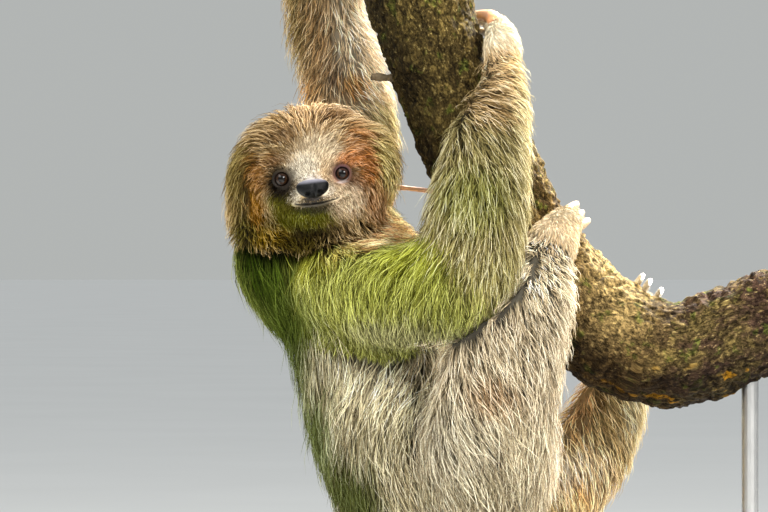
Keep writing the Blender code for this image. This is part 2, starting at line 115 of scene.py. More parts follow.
# %% A socket that can be reckoned with
class Wire:
    """A shader socket, or a number, with the arithmetic of Math nodes."""

    def __init__(self, tree, socket):
        self.tree = tree
        self.socket = socket

    def node(self, kind, settings=None, inputs=None, output=0):
        """Adds a node: its type, then its settings, then its sockets' values or wires."""
        made = self.tree.nodes.new(kind)
        for key, value in (settings or {}).items():
            setattr(made, key, value)
        for key, value in (inputs or {}).items():
            if isinstance(value, Wire):
                self.tree.links.new(value.socket, made.inputs[key])
            else:
                made.inputs[key].default_value = value
        return Wire(self.tree, made.outputs[output])

    def maths(self, operation, *values):
        return self.node("ShaderNodeMath", {"operation": operation}, dict(enumerate(values)))

    def __add__(self, other):
        return self.maths("ADD", self, other)

    def __radd__(self, other):
        return self.maths("ADD", other, self)

    def __sub__(self, other):
        return self.maths("SUBTRACT", self, other)

    def __rsub__(self, other):
        return self.maths("SUBTRACT", other, self)

    def __mul__(self, other):
        return self.maths("MULTIPLY", self, other)

    def __rmul__(self, other):
        return self.maths("MULTIPLY", other, self)

    def between(self, low, high):
        """0 below low and 1 above high, with a soft step."""
        settings = {"interpolation_type": "SMOOTHSTEP"}
        values = {"Value": self, "From Min": low, "From Max": high}
        return self.node("ShaderNodeMapRange", settings, values)

    def mix(self, first, second):
        """first where this mask is 0, second where it is 1, as colours."""
        values = {0: self, 6: first, 7: second}
        return self.node("ShaderNodeMix", {"data_type": "RGBA"}, values, output=2)

    def multiplied(self, colour, clamp=False):
        """This colour times another, held below 1 if asked."""
        settings = {"data_type": "RGBA", "blend_type": "MULTIPLY", "clamp_result": clamp}
        return self.node("ShaderNodeMix", settings, {0: 1.0, 6: self, 7: colour}, output=2)

    def tinted(self, grey, clamp=False):
        """This colour times a grey wire."""
        both = grey.node("ShaderNodeCombineColor", {}, {0: grey, 1: grey, 2: grey})
        return self.multiplied(both, clamp)

    def spots(self, where, size, detail=3.0, roughness=0.55):
        """Soft noise, about `size` metres from lump to lump."""
        values = {"Vector": where, "Scale": 1.0 / size, "Detail": detail, "Roughness": roughness}
        return self.node("ShaderNodeTexNoise", {}, values)

    def cells(self, where, size):
        """0 at the middle of each cell of a net, growing toward its edge."""
        return self.node("ShaderNodeTexVoronoi", {}, {"Vector": where, "Scale": 1.0 / size})

    def stretched(self, where, scale):
        """Coordinates scaled along their axes."""
        return self.node("ShaderNodeMapping", {}, {"Vector": where, "Scale": scale})

    def vectors(self, operation, *values):
        """Vector arithmetic: a vector, or one number for a length or a dot product."""
        output = 1 if operation in ("LENGTH", "DOT_PRODUCT") else 0
        inputs = dict(enumerate(values))
        return self.node("ShaderNodeVectorMath", {"operation": operation}, inputs, output)


def rgb(red, green, blue):
    """A colour on the screen's scale of 0 to 255, made linear for the shader."""
    return tuple(
        v / 12.92 if v <= 0.04045 else ((v + 0.055) / 1.055) ** 2.4
        for v in (red / 255, green / 255, blue / 255)
    )


def rgba(*colour):
    return (*rgb(*colour), 1.0)


class Finish:
    """A material with its Principled shader, and the wires that most finishes start from."""

    def __init__(self, name, **constants):
        self.material = bpy.data.materials.new(name)
        self.material.use_nodes = True
        self.tree = self.material.node_tree
        self.shader = self.tree.nodes["Principled BSDF"]
        for key, value in constants.items():
            self.shader.inputs[key.replace("_", " ")].default_value = value
        self.start = Wire(self.tree, None)
        self.place = self.start.node("ShaderNodeTexCoord", output=3)

    def attribute(self, name, output=2):
        """An attribute of the mesh: output 2 is its value, 0 its colour, 1 its vector."""
        return self.start.node("ShaderNodeAttribute", {"attribute_name": name}, output=output)

    def axis(self, index):
        """One of the three object coordinates."""
        return self.start.node("ShaderNodeSeparateXYZ", {}, {0: self.place}, output=index)

    def set(self, **wires):
        """Wires into the shader's sockets, named with low lines for blanks."""
        for key, value in wires.items():
            self.tree.links.new(value.socket, self.shader.inputs[key.replace("_", " ")])

    def bump(self, height, depth, strength=1.0):
        values = {"Height": height, "Distance": depth, "Strength": strength}
        self.set(Normal=self.start.node("ShaderNodeBump", {}, values))


# %% The sky and the floor
def add_sky():
    world = bpy.data.worlds.new("sky")
    bpy.context.scene.world = world
    world.use_nodes = True
    start = Wire(world.node_tree, None)
    ray = start.node("ShaderNodeTexCoord", output=0)
    height = start.node("ShaderNodeSeparateXYZ", {}, {0: ray}, output=2)
    colour = height.between(0.05, 0.9).mix((*SKY_LEVEL, 1.0), (*SKY_OVERHEAD, 1.0))
    background = world.node_tree.nodes["Background"]
    world.node_tree.links.new(colour.socket, background.inputs["Color"])
    background.inputs["Strength"].default_value = SKY_STRENGTH


def add_floor():
    bm = bmesh.new()
    bmesh.ops.create_grid(bm, x_segments=8, y_segments=8, size=FLOOR_REACH)
    mesh = bpy.data.meshes.new("floor")
    bm.to_mesh(mesh)
    bm.free()
    floor = linked("floor", mesh)
    finish = Finish("floor_matt", Roughness=0.9)
    cloud = finish.start.spots(finish.place, 0.4)
    finish.set(Base_Color=cloud.mix(rgba(212, 212, 209), rgba(220, 220, 217)))
    mesh.materials.append(finish.material)


add_sky()
add_floor()
print("sky and floor are set")

# %% [markdown]
# The skin. Each limb is melted together with the body core by a voxel remesh, and drawn inward by
# the depth of its coat, a little at a time with the surface eased in between. Doing this limb by limb
# keeps an arm that lies on the chest from growing into it. The four forms are then melted into one
# closed skin, so that no seam shows.

# %% Helpers for meshes
CORE = ["head", "neck", "trunk", "tail"]
LIMBS = {
    f"{side}_{limb}": [f"{side}_{part}" for part in parts]
    for side in ("right", "left")
    for limb, parts in (("arm", ("upper_arm", "forearm", "hand")), ("leg", ("thigh", "shank", "foot")))
}
FLESH = CORE + [name for parts in LIMBS.values() for name in parts]


def piece_from(bm, name, smooth=True):
    """Closes the bmesh into a named object at the origin."""
    mesh = bpy.data.meshes.new(name)
    bm.to_mesh(mesh)
    bm.free()
    for polygon in mesh.polygons:
        polygon.use_smooth = smooth
    return linked(name, mesh)


def applied(obj):
    """Gives an object the mesh that its modifiers make."""
    bpy.context.view_layer.update()
    mesh = bpy.data.meshes.new_from_object(obj.evaluated_get(bpy.context.evaluated_depsgraph_get()))
    obj.modifiers.clear()
    obj.data = mesh
    return obj


def melted(obj, voxel):
    """Melts a mesh into one closed even surface."""
    melt = obj.modifiers.new("melt", "REMESH")
    melt.mode = "VOXEL"
    melt.voxel_size = voxel
    melt.use_smooth_shade = True
    return applied(obj)


def copied_nodes(names, swell=0.0):
    """A merged bmesh of CAD nodes, grown a little so that neighbours overlap."""
    bm = bmesh.new()
    for name in names:
        bm.from_mesh(NODES[name].data)
    bmesh.ops.remove_doubles(bm, verts=bm.verts, dist=0.01 * MM)
    if swell:
        for vert, normal in [(v, v.normal.copy()) for v in bm.verts]:
            vert.co += swell * normal
    return bm


def read(collection, key, width):
    """A mesh's values as rows of floats."""
    values = np.empty(len(collection) * width, np.float32)
    collection.foreach_get(key, values)
    return values.reshape(-1, width).astype(float)


def write_places(mesh, co):
    mesh.vertices.foreach_set("co", co.astype(np.float32).ravel())
    mesh.update()


def eased(mesh, values, rounds, share=0.5):
    """Evens out per-vertex values along the edges of a mesh."""
    edges = np.empty(len(mesh.edges) * 2, np.int32)
    mesh.edges.foreach_get("vertices", edges)
    a, b = edges.reshape(-1, 2).T
    count = np.bincount(np.r_[a, b], minlength=len(values))[:, None]
    values = np.array(values, float).reshape(len(values), -1)
    for _ in range(rounds):
        total = np.empty_like(values)
        for k in range(values.shape[1]):
            total[:, k] = np.bincount(np.r_[a, b], np.r_[values[b, k], values[a, k]], len(values))
        values = (1 - share) * values + share * total / np.maximum(count, 1)
    return values


def ramp(values, low, high):
    """A soft step from 0 at low to 1 at high."""
    t = np.clip((values - low) / (high - low), 0.0, 1.0)
    return t * t * (3 - 2 * t)


print(len(FLESH), "nodes of flesh")

# %% Where the head looks
EYES = {side: (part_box(f"{side}_eye")[0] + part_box(f"{side}_eye")[1]) / 2 for side in ("right", "left")}
EYE_RADIUS = (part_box("right_eye")[1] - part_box("right_eye")[0]).x / 2
NOSE = (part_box("nose")[0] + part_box("nose")[1]) / 2
HEAD_RIGHT = (EYES["left"] - EYES["right"]).normalized()
HEAD_FORWARD = Vector((0.0, -1.0, 0.0))
HEAD_UP = HEAD_FORWARD.cross(HEAD_RIGHT).normalized()
EYE_LEVEL = -5.3 * MM  # the eyes' height and depth in the head's own frame
EYE_DEPTH = 33.0 * MM
HEAD_MIDDLE = (EYES["right"] + EYES["left"]) / 2 - EYE_DEPTH * HEAD_FORWARD - EYE_LEVEL * HEAD_UP
HEAD_AXES = np.array([HEAD_RIGHT, HEAD_FORWARD, HEAD_UP])


def to_head(points):
    """Points in the head's own frame: right, forward and up, in millimetres."""
    return (np.atleast_2d(points) - np.array(HEAD_MIDDLE)) @ HEAD_AXES.T / MM


def from_head(points):
    """The reverse: points of the head's frame as places in metres."""
    return np.atleast_2d(points) * MM @ HEAD_AXES + np.array(HEAD_MIDDLE)


print("head middle, mm:", [round(v / MM, 1) for v in HEAD_MIDDLE])
print("eye radius, mm:", round(EYE_RADIUS / MM, 1))

# %% Depth of the coat over each part
COAT_DEPTH = {  # millimetres from the skin to the tips
    "head": 9.0, "neck": 12.0, "trunk": 11.0, "tail": 6.0,
    "right_upper_arm": 10.0, "right_forearm": 8.0, "right_hand": 2.2,
    "left_upper_arm": 9.0, "left_forearm": 7.0, "left_hand": 2.2,
    "right_thigh": 11.0, "right_shank": 8.5, "right_foot": 2.4,
    "left_thigh": 9.0, "left_shank": 6.5, "left_foot": 2.2,
}
FACE_DEPTH = 1.6
FACE_MIDDLE = (1.5, -8.5)  # right and up in the head's frame
FACE_REACH = (34.0, 28.5)

label_tree = KDTree(sum(len(NODES[n].data.vertices) for n in FLESH))
label_names = []
for index, name in enumerate(FLESH):
    for vertex in NODES[name].data.vertices:
        label_tree.insert(vertex.co, len(label_names))
        label_names.append(index)
label_tree.balance()


def part_of(points):
    """The index in FLESH of the node nearest to each point."""
    return np.array([label_names[label_tree.find(p)[1]] for p in points])


def in_face(points):
    """1 inside the short-haired disc of the face, falling to 0 round it."""
    right, forward, up = to_head(points).T
    off = np.hypot((right - FACE_MIDDLE[0]) / FACE_REACH[0], (up - FACE_MIDDLE[1]) / FACE_REACH[1])
    return (1 - ramp(off, 0.66, 1.14)) * ramp(forward, 4.0, 14.0)


def depth_at(points):
    part = part_of(points)
    depth = np.array([COAT_DEPTH[n] for n in FLESH])[part]
    face = in_face(points) * np.isin(part, (FLESH.index("head"), FLESH.index("neck")))
    return (depth * (1 - face) + FACE_DEPTH * face) * MM


# %% One skin from the nodes of flesh
SKIN_VOXEL = 2.9 * MM
DRAW_STEPS = 5


def drawn_in(obj):
    """Moves a form inward by the depth of its coat."""
    mesh = obj.data
    co = read(mesh.vertices, "co", 3)
    depth = eased(mesh, depth_at(co), 6)
    for _ in range(DRAW_STEPS):
        normal = read(mesh.vertex_normals, "vector", 3)
        co = co - normal * depth / DRAW_STEPS
        co = eased(mesh, co, 1, 0.35)
        write_places(mesh, co)
    return obj


forms = []
for limb, parts in LIMBS.items():
    form = piece_from(copied_nodes(CORE + parts, 0.5 * MM), limb + "_form")
    forms.append(drawn_in(melted(form, SKIN_VOXEL)))
bm = bmesh.new()
for form in forms:
    bm.from_mesh(form.data)
    bpy.data.objects.remove(form)
skin = melted(piece_from(bm, "skin"), SKIN_VOXEL)
write_places(skin.data, eased(skin.data, read(skin.data.vertices, "co", 3), 2, 0.4))
print("skin:", len(skin.data.polygons), "faces")

# %% [markdown]
# The face is bare enough to show its modelling, so its part of the skin is cut finer, most of all
# round the eyes and the mouth. Soft pushes then raise the brow, the bridge and the cheeks. The lids
# are the same skin, drawn over a ball a little larger than the eye and stopped at a round opening,
# and the mouth is a groove with a lip below it.

# %% Cut the face finer
FINE_ZONES = [  # middle (right, up) and reach of each ring of finer faces, in the head's frame
    ((0.0, -8.0), (40.0, 40.0)),
    ((0.0, -13.0), (32.0, 24.0)),
]
FINEST_ZONES = [((-22.2, -5.3), (11.0, 11.0)), ((22.2, -5.3), (11.0, 11.0)), ((1.5, -23.0), (20.0, 7.0))]


def cut_finer(bm, zones):
    """Halves the edges of the front faces that lie in any of the zones."""
    co = np.array([v.co for v in bm.verts])
    right, forward, up = to_head(co).T
    inside = np.zeros(len(co), bool)
    for middle, reach in zones:
        off = np.hypot((right - middle[0]) / reach[0], (up - middle[1]) / reach[1])
        inside |= (off < 1.0) & (forward > 5.0)
    bm.verts.index_update()
    edges = [e for e in bm.edges if inside[e.verts[0].index] and inside[e.verts[1].index]]
    bmesh.ops.subdivide_edges(bm, edges=edges, cuts=1, use_grid_fill=True)


bm = bmesh.new()
bm.from_mesh(skin.data)
for zone in FINE_ZONES:
    cut_finer(bm, [zone])
cut_finer(bm, FINEST_ZONES)
bmesh.ops.triangulate(bm, faces=[f for f in bm.faces if len(f.verts) > 4])
bm.to_mesh(skin.data)
bm.free()
skin.data.polygons.foreach_set("use_smooth", np.ones(len(skin.data.polygons), bool))
skin_co = read(skin.data.vertices, "co", 3)
smooth_share = in_face(skin_co)[:, None]
write_places(skin.data, skin_co + (eased(skin.data, skin_co, 14, 0.6) - skin_co) * smooth_share)
print("skin with its fine face:", len(skin.data.polygons), "faces")

# %% Model the face
EYE_BALL = 6.2  # millimetres, as all of the face's measures are
EYE_SINK = 2.0  # how far the eyes sit behind their solids
LID_THICK = 0.75
LID_OPENING = (4.9, 4.7, 5.0)  # half width, height above and height below
MOUTH_CURVE = (0.0078, -0.002, -25.9)  # height of the mouth's line along the head's right
MOUTH_ENDS = (-13.5, 19.0)
FACE_PUSHES = [  # right, up, reach across, reach up, push forward
    (-19, 4.5, 8.5, 3.6, 1.5), (19, 4.5, 8.5, 3.6, 1.5), (0, 2, 6, 12, 1.2), (0, -8, 6.5, 5, 0.9),
    (-12.8, -7, 3.6, 5.5, -1.3), (12.8, -7, 3.6, 5.5, -1.3), (-10, -20, 5.5, 4.6, 1.3),
    (10, -20, 5.5, 4.6, 1.3), (-23, -16.5, 7, 4.5, 1), (23, -16.5, 7, 4.5, 1),
    (-15.5, -24, 2.6, 3.2, -0.9), (19.5, -21.5, 2.6, 3.2, -0.9), (0, -33, 9, 4.5, 1),
    (-31, -7, 3.4, 8, -0.9), (31, -7, 3.4, 8, -0.9),
]
FACE_TURN = 1.4  # the head is turned a little, which shifts the middle of the face this far right
EYE_CENTRES = {
    "right": np.array([-19.5, EYE_DEPTH / MM - EYE_SINK, -6.4]),
    "left": np.array([22.4, EYE_DEPTH / MM - EYE_SINK, -7.5]),
}
LIP_PUSHES = [(0.0, 0.5, -1.5), (-2.2, 1.5, 0.8), (1.6, 1.0, 0.3)]  # off the mouth's line, reach, push
LID_RIM = (0.35, 1.13, 0.10)  # height; where, as a share of the opening; width
LID_CREASE = (0.45, 7.6, 0.55)  # height; distance from the eye's middle; width
EYE_BAG = (0.30, 8.2, 0.8)
LID_BLEND = 0.8  # how softly the lid's ball grows out of the face
LID_FALL = 2.2  # how far the ball drops away past its edge
HOLE_SINK = 0.5  # the skin in the opening, behind the eye's middle


def mouth_line(right):
    """Height of the mouth's line."""
    return MOUTH_CURVE[0] * right**2 + MOUTH_CURVE[1] * right + MOUTH_CURVE[2]


def mouth_span(right, outside, inside):
    """1 between the mouth's corners, falling to 0 past them."""
    return ramp(right, MOUTH_ENDS[0] - outside, MOUTH_ENDS[0] + inside) * (
        1 - ramp(right, MOUTH_ENDS[1] - inside, MOUTH_ENDS[1] + outside))


def bell(values, height, at, width):
    """A smooth hump over the values near `at`."""
    return height * np.exp(-(((values - at) / width) ** 2))


def lids(right, forward, up, centre):
    """Draws the skin round one eye over a ball, with a rim, a crease above and a bag below."""
    across, over = right - centre[0], up - centre[2]
    rho = np.hypot(across, over)
    tall = np.where(over > 0, LID_OPENING[1], LID_OPENING[2])
    opening = np.hypot(across / LID_OPENING[0], over / tall)
    ball = EYE_BALL + LID_THICK
    lid = centre[1] + np.sqrt(np.maximum(ball**2 - rho**2, 0.0))
    lid = lid - LID_FALL * ramp(rho, ball - 1.2, ball + 1)
    rim = bell(opening, *LID_RIM)
    crease = bell(rho, *LID_CREASE) * ramp(over, -2.0, 3.0)
    bag = bell(rho, *EYE_BAG) * ramp(-over, 0.0, 4.0)
    raised = LID_BLEND * np.logaddexp(forward / LID_BLEND, (lid + rim) / LID_BLEND) - crease - bag
    near = (1 - ramp(rho, 7.6, 10.5)) * (1 - ramp(np.abs(forward - centre[1]), 6.0, 10.0))
    forward = forward + (raised - forward) * near
    hole = (1 - ramp(opening, 0.96, 1.03)) * near
    return forward + (centre[1] - HOLE_SINK - forward) * hole


def model_face(points):
    """Moves the front skin's points, in the head's frame."""
    right, forward, up = points.T
    front = ramp(forward, 6.0, 16.0)
    for at, height, across, tall, push in FACE_PUSHES:
        off = ((right - FACE_TURN - at) / across) ** 2 + ((up - height) / tall) ** 2
        forward = forward + push * np.exp(-off) * front
    along = mouth_span(right, 1.5, 2.5)
    for off, reach, push in LIP_PUSHES:
        forward = forward + bell(up - mouth_line(right), push, off, reach) * along * front
    forward = forward - 0.5 * np.exp(-(right / 0.5) ** 2 - ((up + 23.2) / 1.6) ** 2) * front
    for centre in EYE_CENTRES.values():
        forward = lids(right, forward, up, centre)
    return np.c_[right, forward, up]


skin_co = read(skin.data.vertices, "co", 3)
in_head = to_head(skin_co)
modelled = (np.hypot(in_head[:, 0] / 44, (in_head[:, 2] + 6) / 44) < 1) & (in_head[:, 1] > 5)
skin_co[modelled] = from_head(model_face(in_head[modelled]))
write_places(skin.data, skin_co)
print("face modelled:", int(modelled.sum()), "points; eye centre", EYE_CENTRES["left"].round(1))

# %% [markdown]
# Markings. One function says what colour the animal is at a point, for the skin and the coat alike:
# each part has its ground colour, and soft patches are laid over it, such as the green of the algae
# that live in the coat of the shoulders, or the pale ring of the face. A few patches are painted
# shade or painted light: shade under the chin, in the parting before the thigh, beside the cheek
# and over the far leg, and a lighter throat and groove beside the thigh.

# %% Ground colours and patches
GROUND = {
    "head": (165, 140, 95), "neck": (108, 114, 48), "trunk": (184, 176, 142), "tail": (150, 136, 100),
    "right_upper_arm": (146, 149, 70), "right_forearm": (152, 142, 94), "right_hand": (250, 238, 208),
    "left_upper_arm": (186, 158, 116), "left_forearm": (180, 152, 110), "left_hand": (236, 222, 190),
    "right_thigh": (194, 182, 154), "right_shank": (192, 180, 156), "right_foot": (212, 196, 164),
    "left_thigh": (204, 184, 138), "left_shank": (190, 170, 120), "left_foot": (236, 222, 190),
}
CORE_PATCHES = [  # where (mm), reach (mm), colour, strength
    ((-185, 10, 332), (30, 60, 50), (84, 92, 34), 0.9),  # nape
    ((-172, -10, 290), (28, 60, 38), (36, 52, 2), 0.98),  # dark green of the shoulder
    ((-88, -30, 308), (42, 44, 30), (255, 206, 154), 1.0),  # brown throat, lightened by painted light against the chin's shadow
    ((-120, -50, 298), (20, 36, 12), (222, 208, 110), 0.85),
    ((-148, -40, 306), (34, 40, 13), (62, 54, 12), 0.95),  # shade under the chin
    ((-134, -50, 286), (28, 40, 15), (150, 152, 48), 0.9),  # bright green of the throat's side
    ((-130, -55, 264), (28, 40, 22), (138, 146, 70), 0.9),  # green chest
    ((-126, -60, 268), (17, 40, 11), (186, 188, 100), 0.7),  # its pale yellow middle
    ((-158, 0, 238), (26, 60, 66), (66, 80, 22), 0.95),  # green along the back's edge
    ((-147, 0, 162), (26, 60, 54), (86, 98, 42), 0.9),
    ((-120, -30, 124), (44, 70, 40), (74, 84, 28), 0.95),
    ((-138, -20, 170), (16, 60, 34), (96, 108, 56), 0.8),
    ((-98, -60, 212), (42, 40, 30), (242, 234, 200), 0.95),  # pale flank
    ((-98, -60, 166), (30, 40, 18), (164, 156, 124), 0.8),
    ((-62, -33, 222), (18, 30, 18), (226, 212, 178), 0.9),  # beside the thigh, lightened by painted light against the shade of the groove
    ((-60, -62, 196), (5, 24, 20), (80, 64, 44), 0.4),  # painted shade in the parting in front of the thigh
    ((-70, -60, 138), (26, 30, 22), (184, 172, 142), 0.6),
    ((-100, 70, 190), (46, 34, 70), (146, 136, 92), 0.8),  # back
    ((-84, 60, 130), (22, 26, 26), (206, 196, 164), 0.8),  # pale blotches of the lower back
    ((-112, 58, 170), (18, 24, 22), (196, 186, 150), 0.7),
    ((-118, 20, 120), (20, 26, 18), (186, 174, 140), 0.7),
    ((26, 0, 145), (42, 60, 60), (236, 210, 172), 0.9),  # warm belly
    ((-20, 0, 215), (30, 50, 44), (196, 162, 116), 0.7),
]
LIMB_PATCHES = {
    "right_arm": [
        ((-80, -90, 286), (62, 40, 22), (150, 155, 60), 0.9),
        ((-74, -90, 298), (36, 40, 12), (168, 174, 50), 0.7),
        ((-112, -70, 272), (20, 40, 22), (184, 188, 92), 0.8),
        ((-85, -80, 243), (66, 40, 14), (156, 154, 112), 0.9),
        ((-22, -95, 280), (26, 40, 26), (162, 156, 96), 0.9),
        ((-14, -60, 404), (34, 50, 26), (186, 158, 112), 0.9),
        ((-30, -100, 336), (34, 40, 30), (140, 148, 66), 0.6),
        ((-10, -50, 432), (26, 50, 18), (238, 208, 160), 0.95),
        ((10, -50, 385), (11, 60, 76), (208, 196, 150), 0.8),
        ((-5, -30, 453), (18, 30, 13), (252, 242, 216), 1.0),
    ],
    "left_arm": [
        ((-91, 40, 450), (46, 60, 90), (250, 234, 206), 1.0),
        ((-160, 40, 450), (16, 60, 70), (140, 124, 80), 0.9),
        ((-134, 30, 452), (9, 40, 22), (190, 154, 104), 0.7),
        ((-126, 30, 424), (10, 40, 13), (132, 112, 92), 0.9),
        ((-149, 36, 414), (14, 40, 10), (226, 174, 108), 0.9),
        ((-111, 36, 419), (12, 40, 13), (232, 184, 120), 0.9),
        ((-84, 45, 390), (22, 50, 20), (188, 182, 138), 0.9),
        ((-118, 110, 400), (40, 40, 90), (166, 144, 100), 0.9),
    ],
    "right_leg": [
        ((-16, -100, 200), (22, 50, 15), (158, 124, 86), 0.7),
        ((-50, -90, 174), (13, 50, 24), (132, 120, 94), 0.8),
        ((-38, -100, 166), (36, 50, 34), (186, 178, 156), 0.8),
        ((-50, -80, 236), (16, 40, 9), (220, 204, 172), 0.8),
        ((10, -80, 288), (36, 50, 32), (255, 242, 212), 0.95),
        ((38, -70, 150), (15, 60, 68), (250, 228, 200), 0.9),
        ((-20, -90, 136), (36, 50, 16), (158, 150, 122), 0.7),
        ((32, -55, 312), (22, 40, 15), (250, 228, 192), 0.9),
    ],
    "left_leg": [
        ((46, 25, 200), (18, 60, 40), (226, 184, 134), 0.9),
        ((64, 30, 198), (8, 50, 14), (120, 96, 62), 0.9),
        ((76, 30, 176), (18, 50, 30), (190, 168, 122), 0.85),
        ((90, 50, 186), (11, 50, 36), (226, 216, 180), 0.85),
        # painted shade over the top of the far leg
        ((86, 45, 226), (28, 50, 17), (66, 58, 26), 0.95),
        ((50, 10, 142), (34, 60, 26), (248, 232, 204), 0.95),
        ((66, 20, 130), (26, 50, 26), (214, 190, 148), 0.8),
        ((50, 5, 126), (10, 60, 13), (240, 190, 116), 0.6),
    ],
}
HEAD_PATCHES = [  # the same, in the head's frame
    ((8, 0, 36), (46, 60, 20), (184, 154, 110), 0.9),  # crown
    ((-31, 5, 29), (20, 40, 16), (166, 138, 94), 0.9),  # left of the crown
    ((24, 5, 36), (20, 40, 7), (110, 82, 50), 0.8),  # dark streaks of the right crown
    ((-16, 15, 24), (16, 40, 7), (126, 94, 58), 0.7),
    ((-52, 0, -4), (13, 50, 36), (114, 99, 48), 0.95),  # outer hair, left
    ((54, 0, -12), (12, 50, 36), (188, 174, 106), 0.95),  # outer hair, right
    ((-46, 0, -42), (22, 50, 17), (84, 78, 24), 0.95),
    ((0, -45, 0), (70, 30, 60), (124, 112, 68), 0.9),  # back of the head
    ((-40, 12, 2), (7, 30, 20), (106, 68, 0), 0.9),  # orange side whiskers
    ((-40, 12, -25), (7, 30, 17), (142, 98, 0), 0.95),
    ((-29, 10, -47), (20, 30, 9), (148, 118, 0), 0.95),
    ((-47, 14, -12), (4, 30, 18), (50, 36, 18), 0.8),  # painted shade in the gaps beside the cheek
    ((-8, 8, -54), (30, 30, 11), (66, 58, 4), 0.95),
    ((38, 10, 14), (14, 40, 16), (188, 134, 80), 0.9),
    ((44, 10, -32), (12, 30, 18), (178, 134, 88), 0.9),
    ((2, 20, -6), (33, 40, 28), (218, 190, 150), 1.0),  # face
    ((10, 30, 13), (19, 40, 14), (234, 216, 184), 0.9),  # forehead
    ((-3.5, 38, -1), (13, 30, 13), (234, 226, 208), 0.95),  # bridge
    ((-25, 26, 8), (11, 30, 7), (140, 100, 56), 0.85),  # left brow
    ((-36, 22, -4), (9, 30, 13), (176, 128, 66), 0.85),
    ((30, 26, 2.0), (13, 30, 8), (222, 148, 84), 0.9),  # orange brow
    ((43, 20, -6), (9, 30, 18), (184, 118, 52), 0.95),  # rust beside the eye
    ((33, 22, -16), (8, 30, 8), (152, 106, 68), 0.9),
    ((-23, 24, -22), (11, 30, 9), (113, 111, 0), 0.97),  # green shade of the left cheek
    ((-18, 24, -33), (16, 30, 11), (92, 88, 0), 0.97),
    ((-4, 24, -37), (26, 30, 10), (98, 98, 0), 0.97),  # green chin
    ((-3, 24, -34), (14, 30, 5), (140, 142, 14), 0.8),
    ((-4, 22, -46.5), (27, 30, 5), (36, 30, 8), 0.95),  # shadow under the chin
    ((24, 26, -27), (16, 30, 14), (248, 226, 196), 0.97),  # pale right cheek
    ((-11.5, 34, -19.5), (5, 30, 7), (230, 222, 204), 0.9),
    ((11, 36, -18), (7, 30, 7), (210, 200, 184), 0.8),
    ((-20.5, 30, -10), (15, 30, 17), (24, 17, 8), 1.0),  # dark patch round the right eye
    ((22.4, 30, -7.5), (11, 30, 11), (100, 64, 56), 0.95),  # purple ring of the left eye
    ((2, 40, -30.2), (18, 20, 6.5), (66, 62, 46), 0.95),  # lower lip
    ((0.5, 42, -23.2), (10, 20, 3.4), (62, 56, 50), 0.9),  # dark lip below the nose
    ((-8, 38, -30.5), (12, 20, 4), (62, 64, 26), 0.8),
]
FACE_PATCHES = [  # the bare parts, which the skin alone shows
    ((-19.5, 32, -6.4), (7.4, 30, 7.6), (30, 22, 16), 1.0),
    ((22.4, 32, -6.4), (6.9, 30, 6.9), (66, 44, 50), 1.0),
    ((22.0, 32, -13.2), (4.6, 30, 1.2), (176, 164, 160), 0.6),  # pale lower rim
    ((1.2, 44, -9.8), (11, 20, 5), (200, 192, 186), 0.9),  # round the nose pad
    ((3, 44, -28.0), (18, 20, 4.5), (78, 72, 62), 0.95),  # lower lip
    ((0.5, 44, -23.6), (11, 20, 3.2), (50, 46, 44), 0.9),
]
HEAD_SET = [FLESH.index("head")]
GROUND_LIN = np.array([rgb(*GROUND[n]) for n in FLESH])
HEM = (229.0, -126.0, 0.09)  # the hem's height at a place along x, and its slope
MOUTH_TINT = (16, 13, 12)


def laid_over(colour, points, patches, inside):
    """Lays soft patches over a colour, where `inside` is 1."""
    for middle, reach, tint, strength in patches:
        off = np.linalg.norm((points - middle) / reach, axis=1)
        share = strength * (1 - ramp(off, 0.45, 1.15)) * inside
        colour = colour + (np.array(rgb(*tint)) - colour) * share[:, None]
    return colour


def hem_height(points):
    """Height in millimetres above the hem where the shoulder's coat ends over the flank's."""
    return points[:, 2] / MM - HEM[0] - (points[:, 0] / MM - HEM[1]) * HEM[2]


def markings(points, part, bare=False):
    """The animal's colour at points that belong to the given parts, with its few patches of painted shade
    and light.
    """
    part = np.asarray(part)
    colour = GROUND_LIN[part]
    mm = points / MM
    core = np.isin(part, [FLESH.index(n) for n in CORE[1:]])
    green = ramp(hem_height(points), 8.0, 14.0)[:, None]
    neck, trunk = (GROUND_LIN[FLESH.index(n)] for n in ("neck", "trunk"))
    colour = np.where(core[:, None], trunk + (neck - trunk) * green, colour)
    colour = laid_over(colour, mm, CORE_PATCHES, core)
    for limb, patches in LIMB_PATCHES.items():
        colour = laid_over(colour, mm, patches, np.isin(part, [FLESH.index(n) for n in LIMBS[limb]]))
    on_head = np.isin(part, HEAD_SET) * 1.0
    local = to_head(points)
    colour = laid_over(colour, local, HEAD_PATCHES, on_head)
    if bare:
        colour = laid_over(colour, local, FACE_PATCHES, on_head)
        right, forward, up = local.T
        wide = 0.95 + 0.55 * (1 - ramp(right, -2.0, 12.0))
        line = np.exp(-(((up - mouth_line(right)) / wide) ** 2)) * mouth_span(right, 1, 2)
        line = line * ramp(forward, 24, 30) * on_head
        colour = colour + (np.array(rgb(*MOUTH_TINT)) - colour) * (0.95 * line)[:, None]
    return np.clip(colour, 0, 1)


def give_colour(mesh, name, colour):
    """Writes a colour on every point of a mesh."""
    made = mesh.attributes.new(name, "FLOAT_COLOR", "POINT")
    made.data.foreach_set("color", np.c_[colour, np.ones(len(colour))].astype(np.float32).ravel())


def give_value(mesh, name, values):
    mesh.attributes.new(name, "FLOAT", "POINT").data.foreach_set("value", values.astype(np.float32))


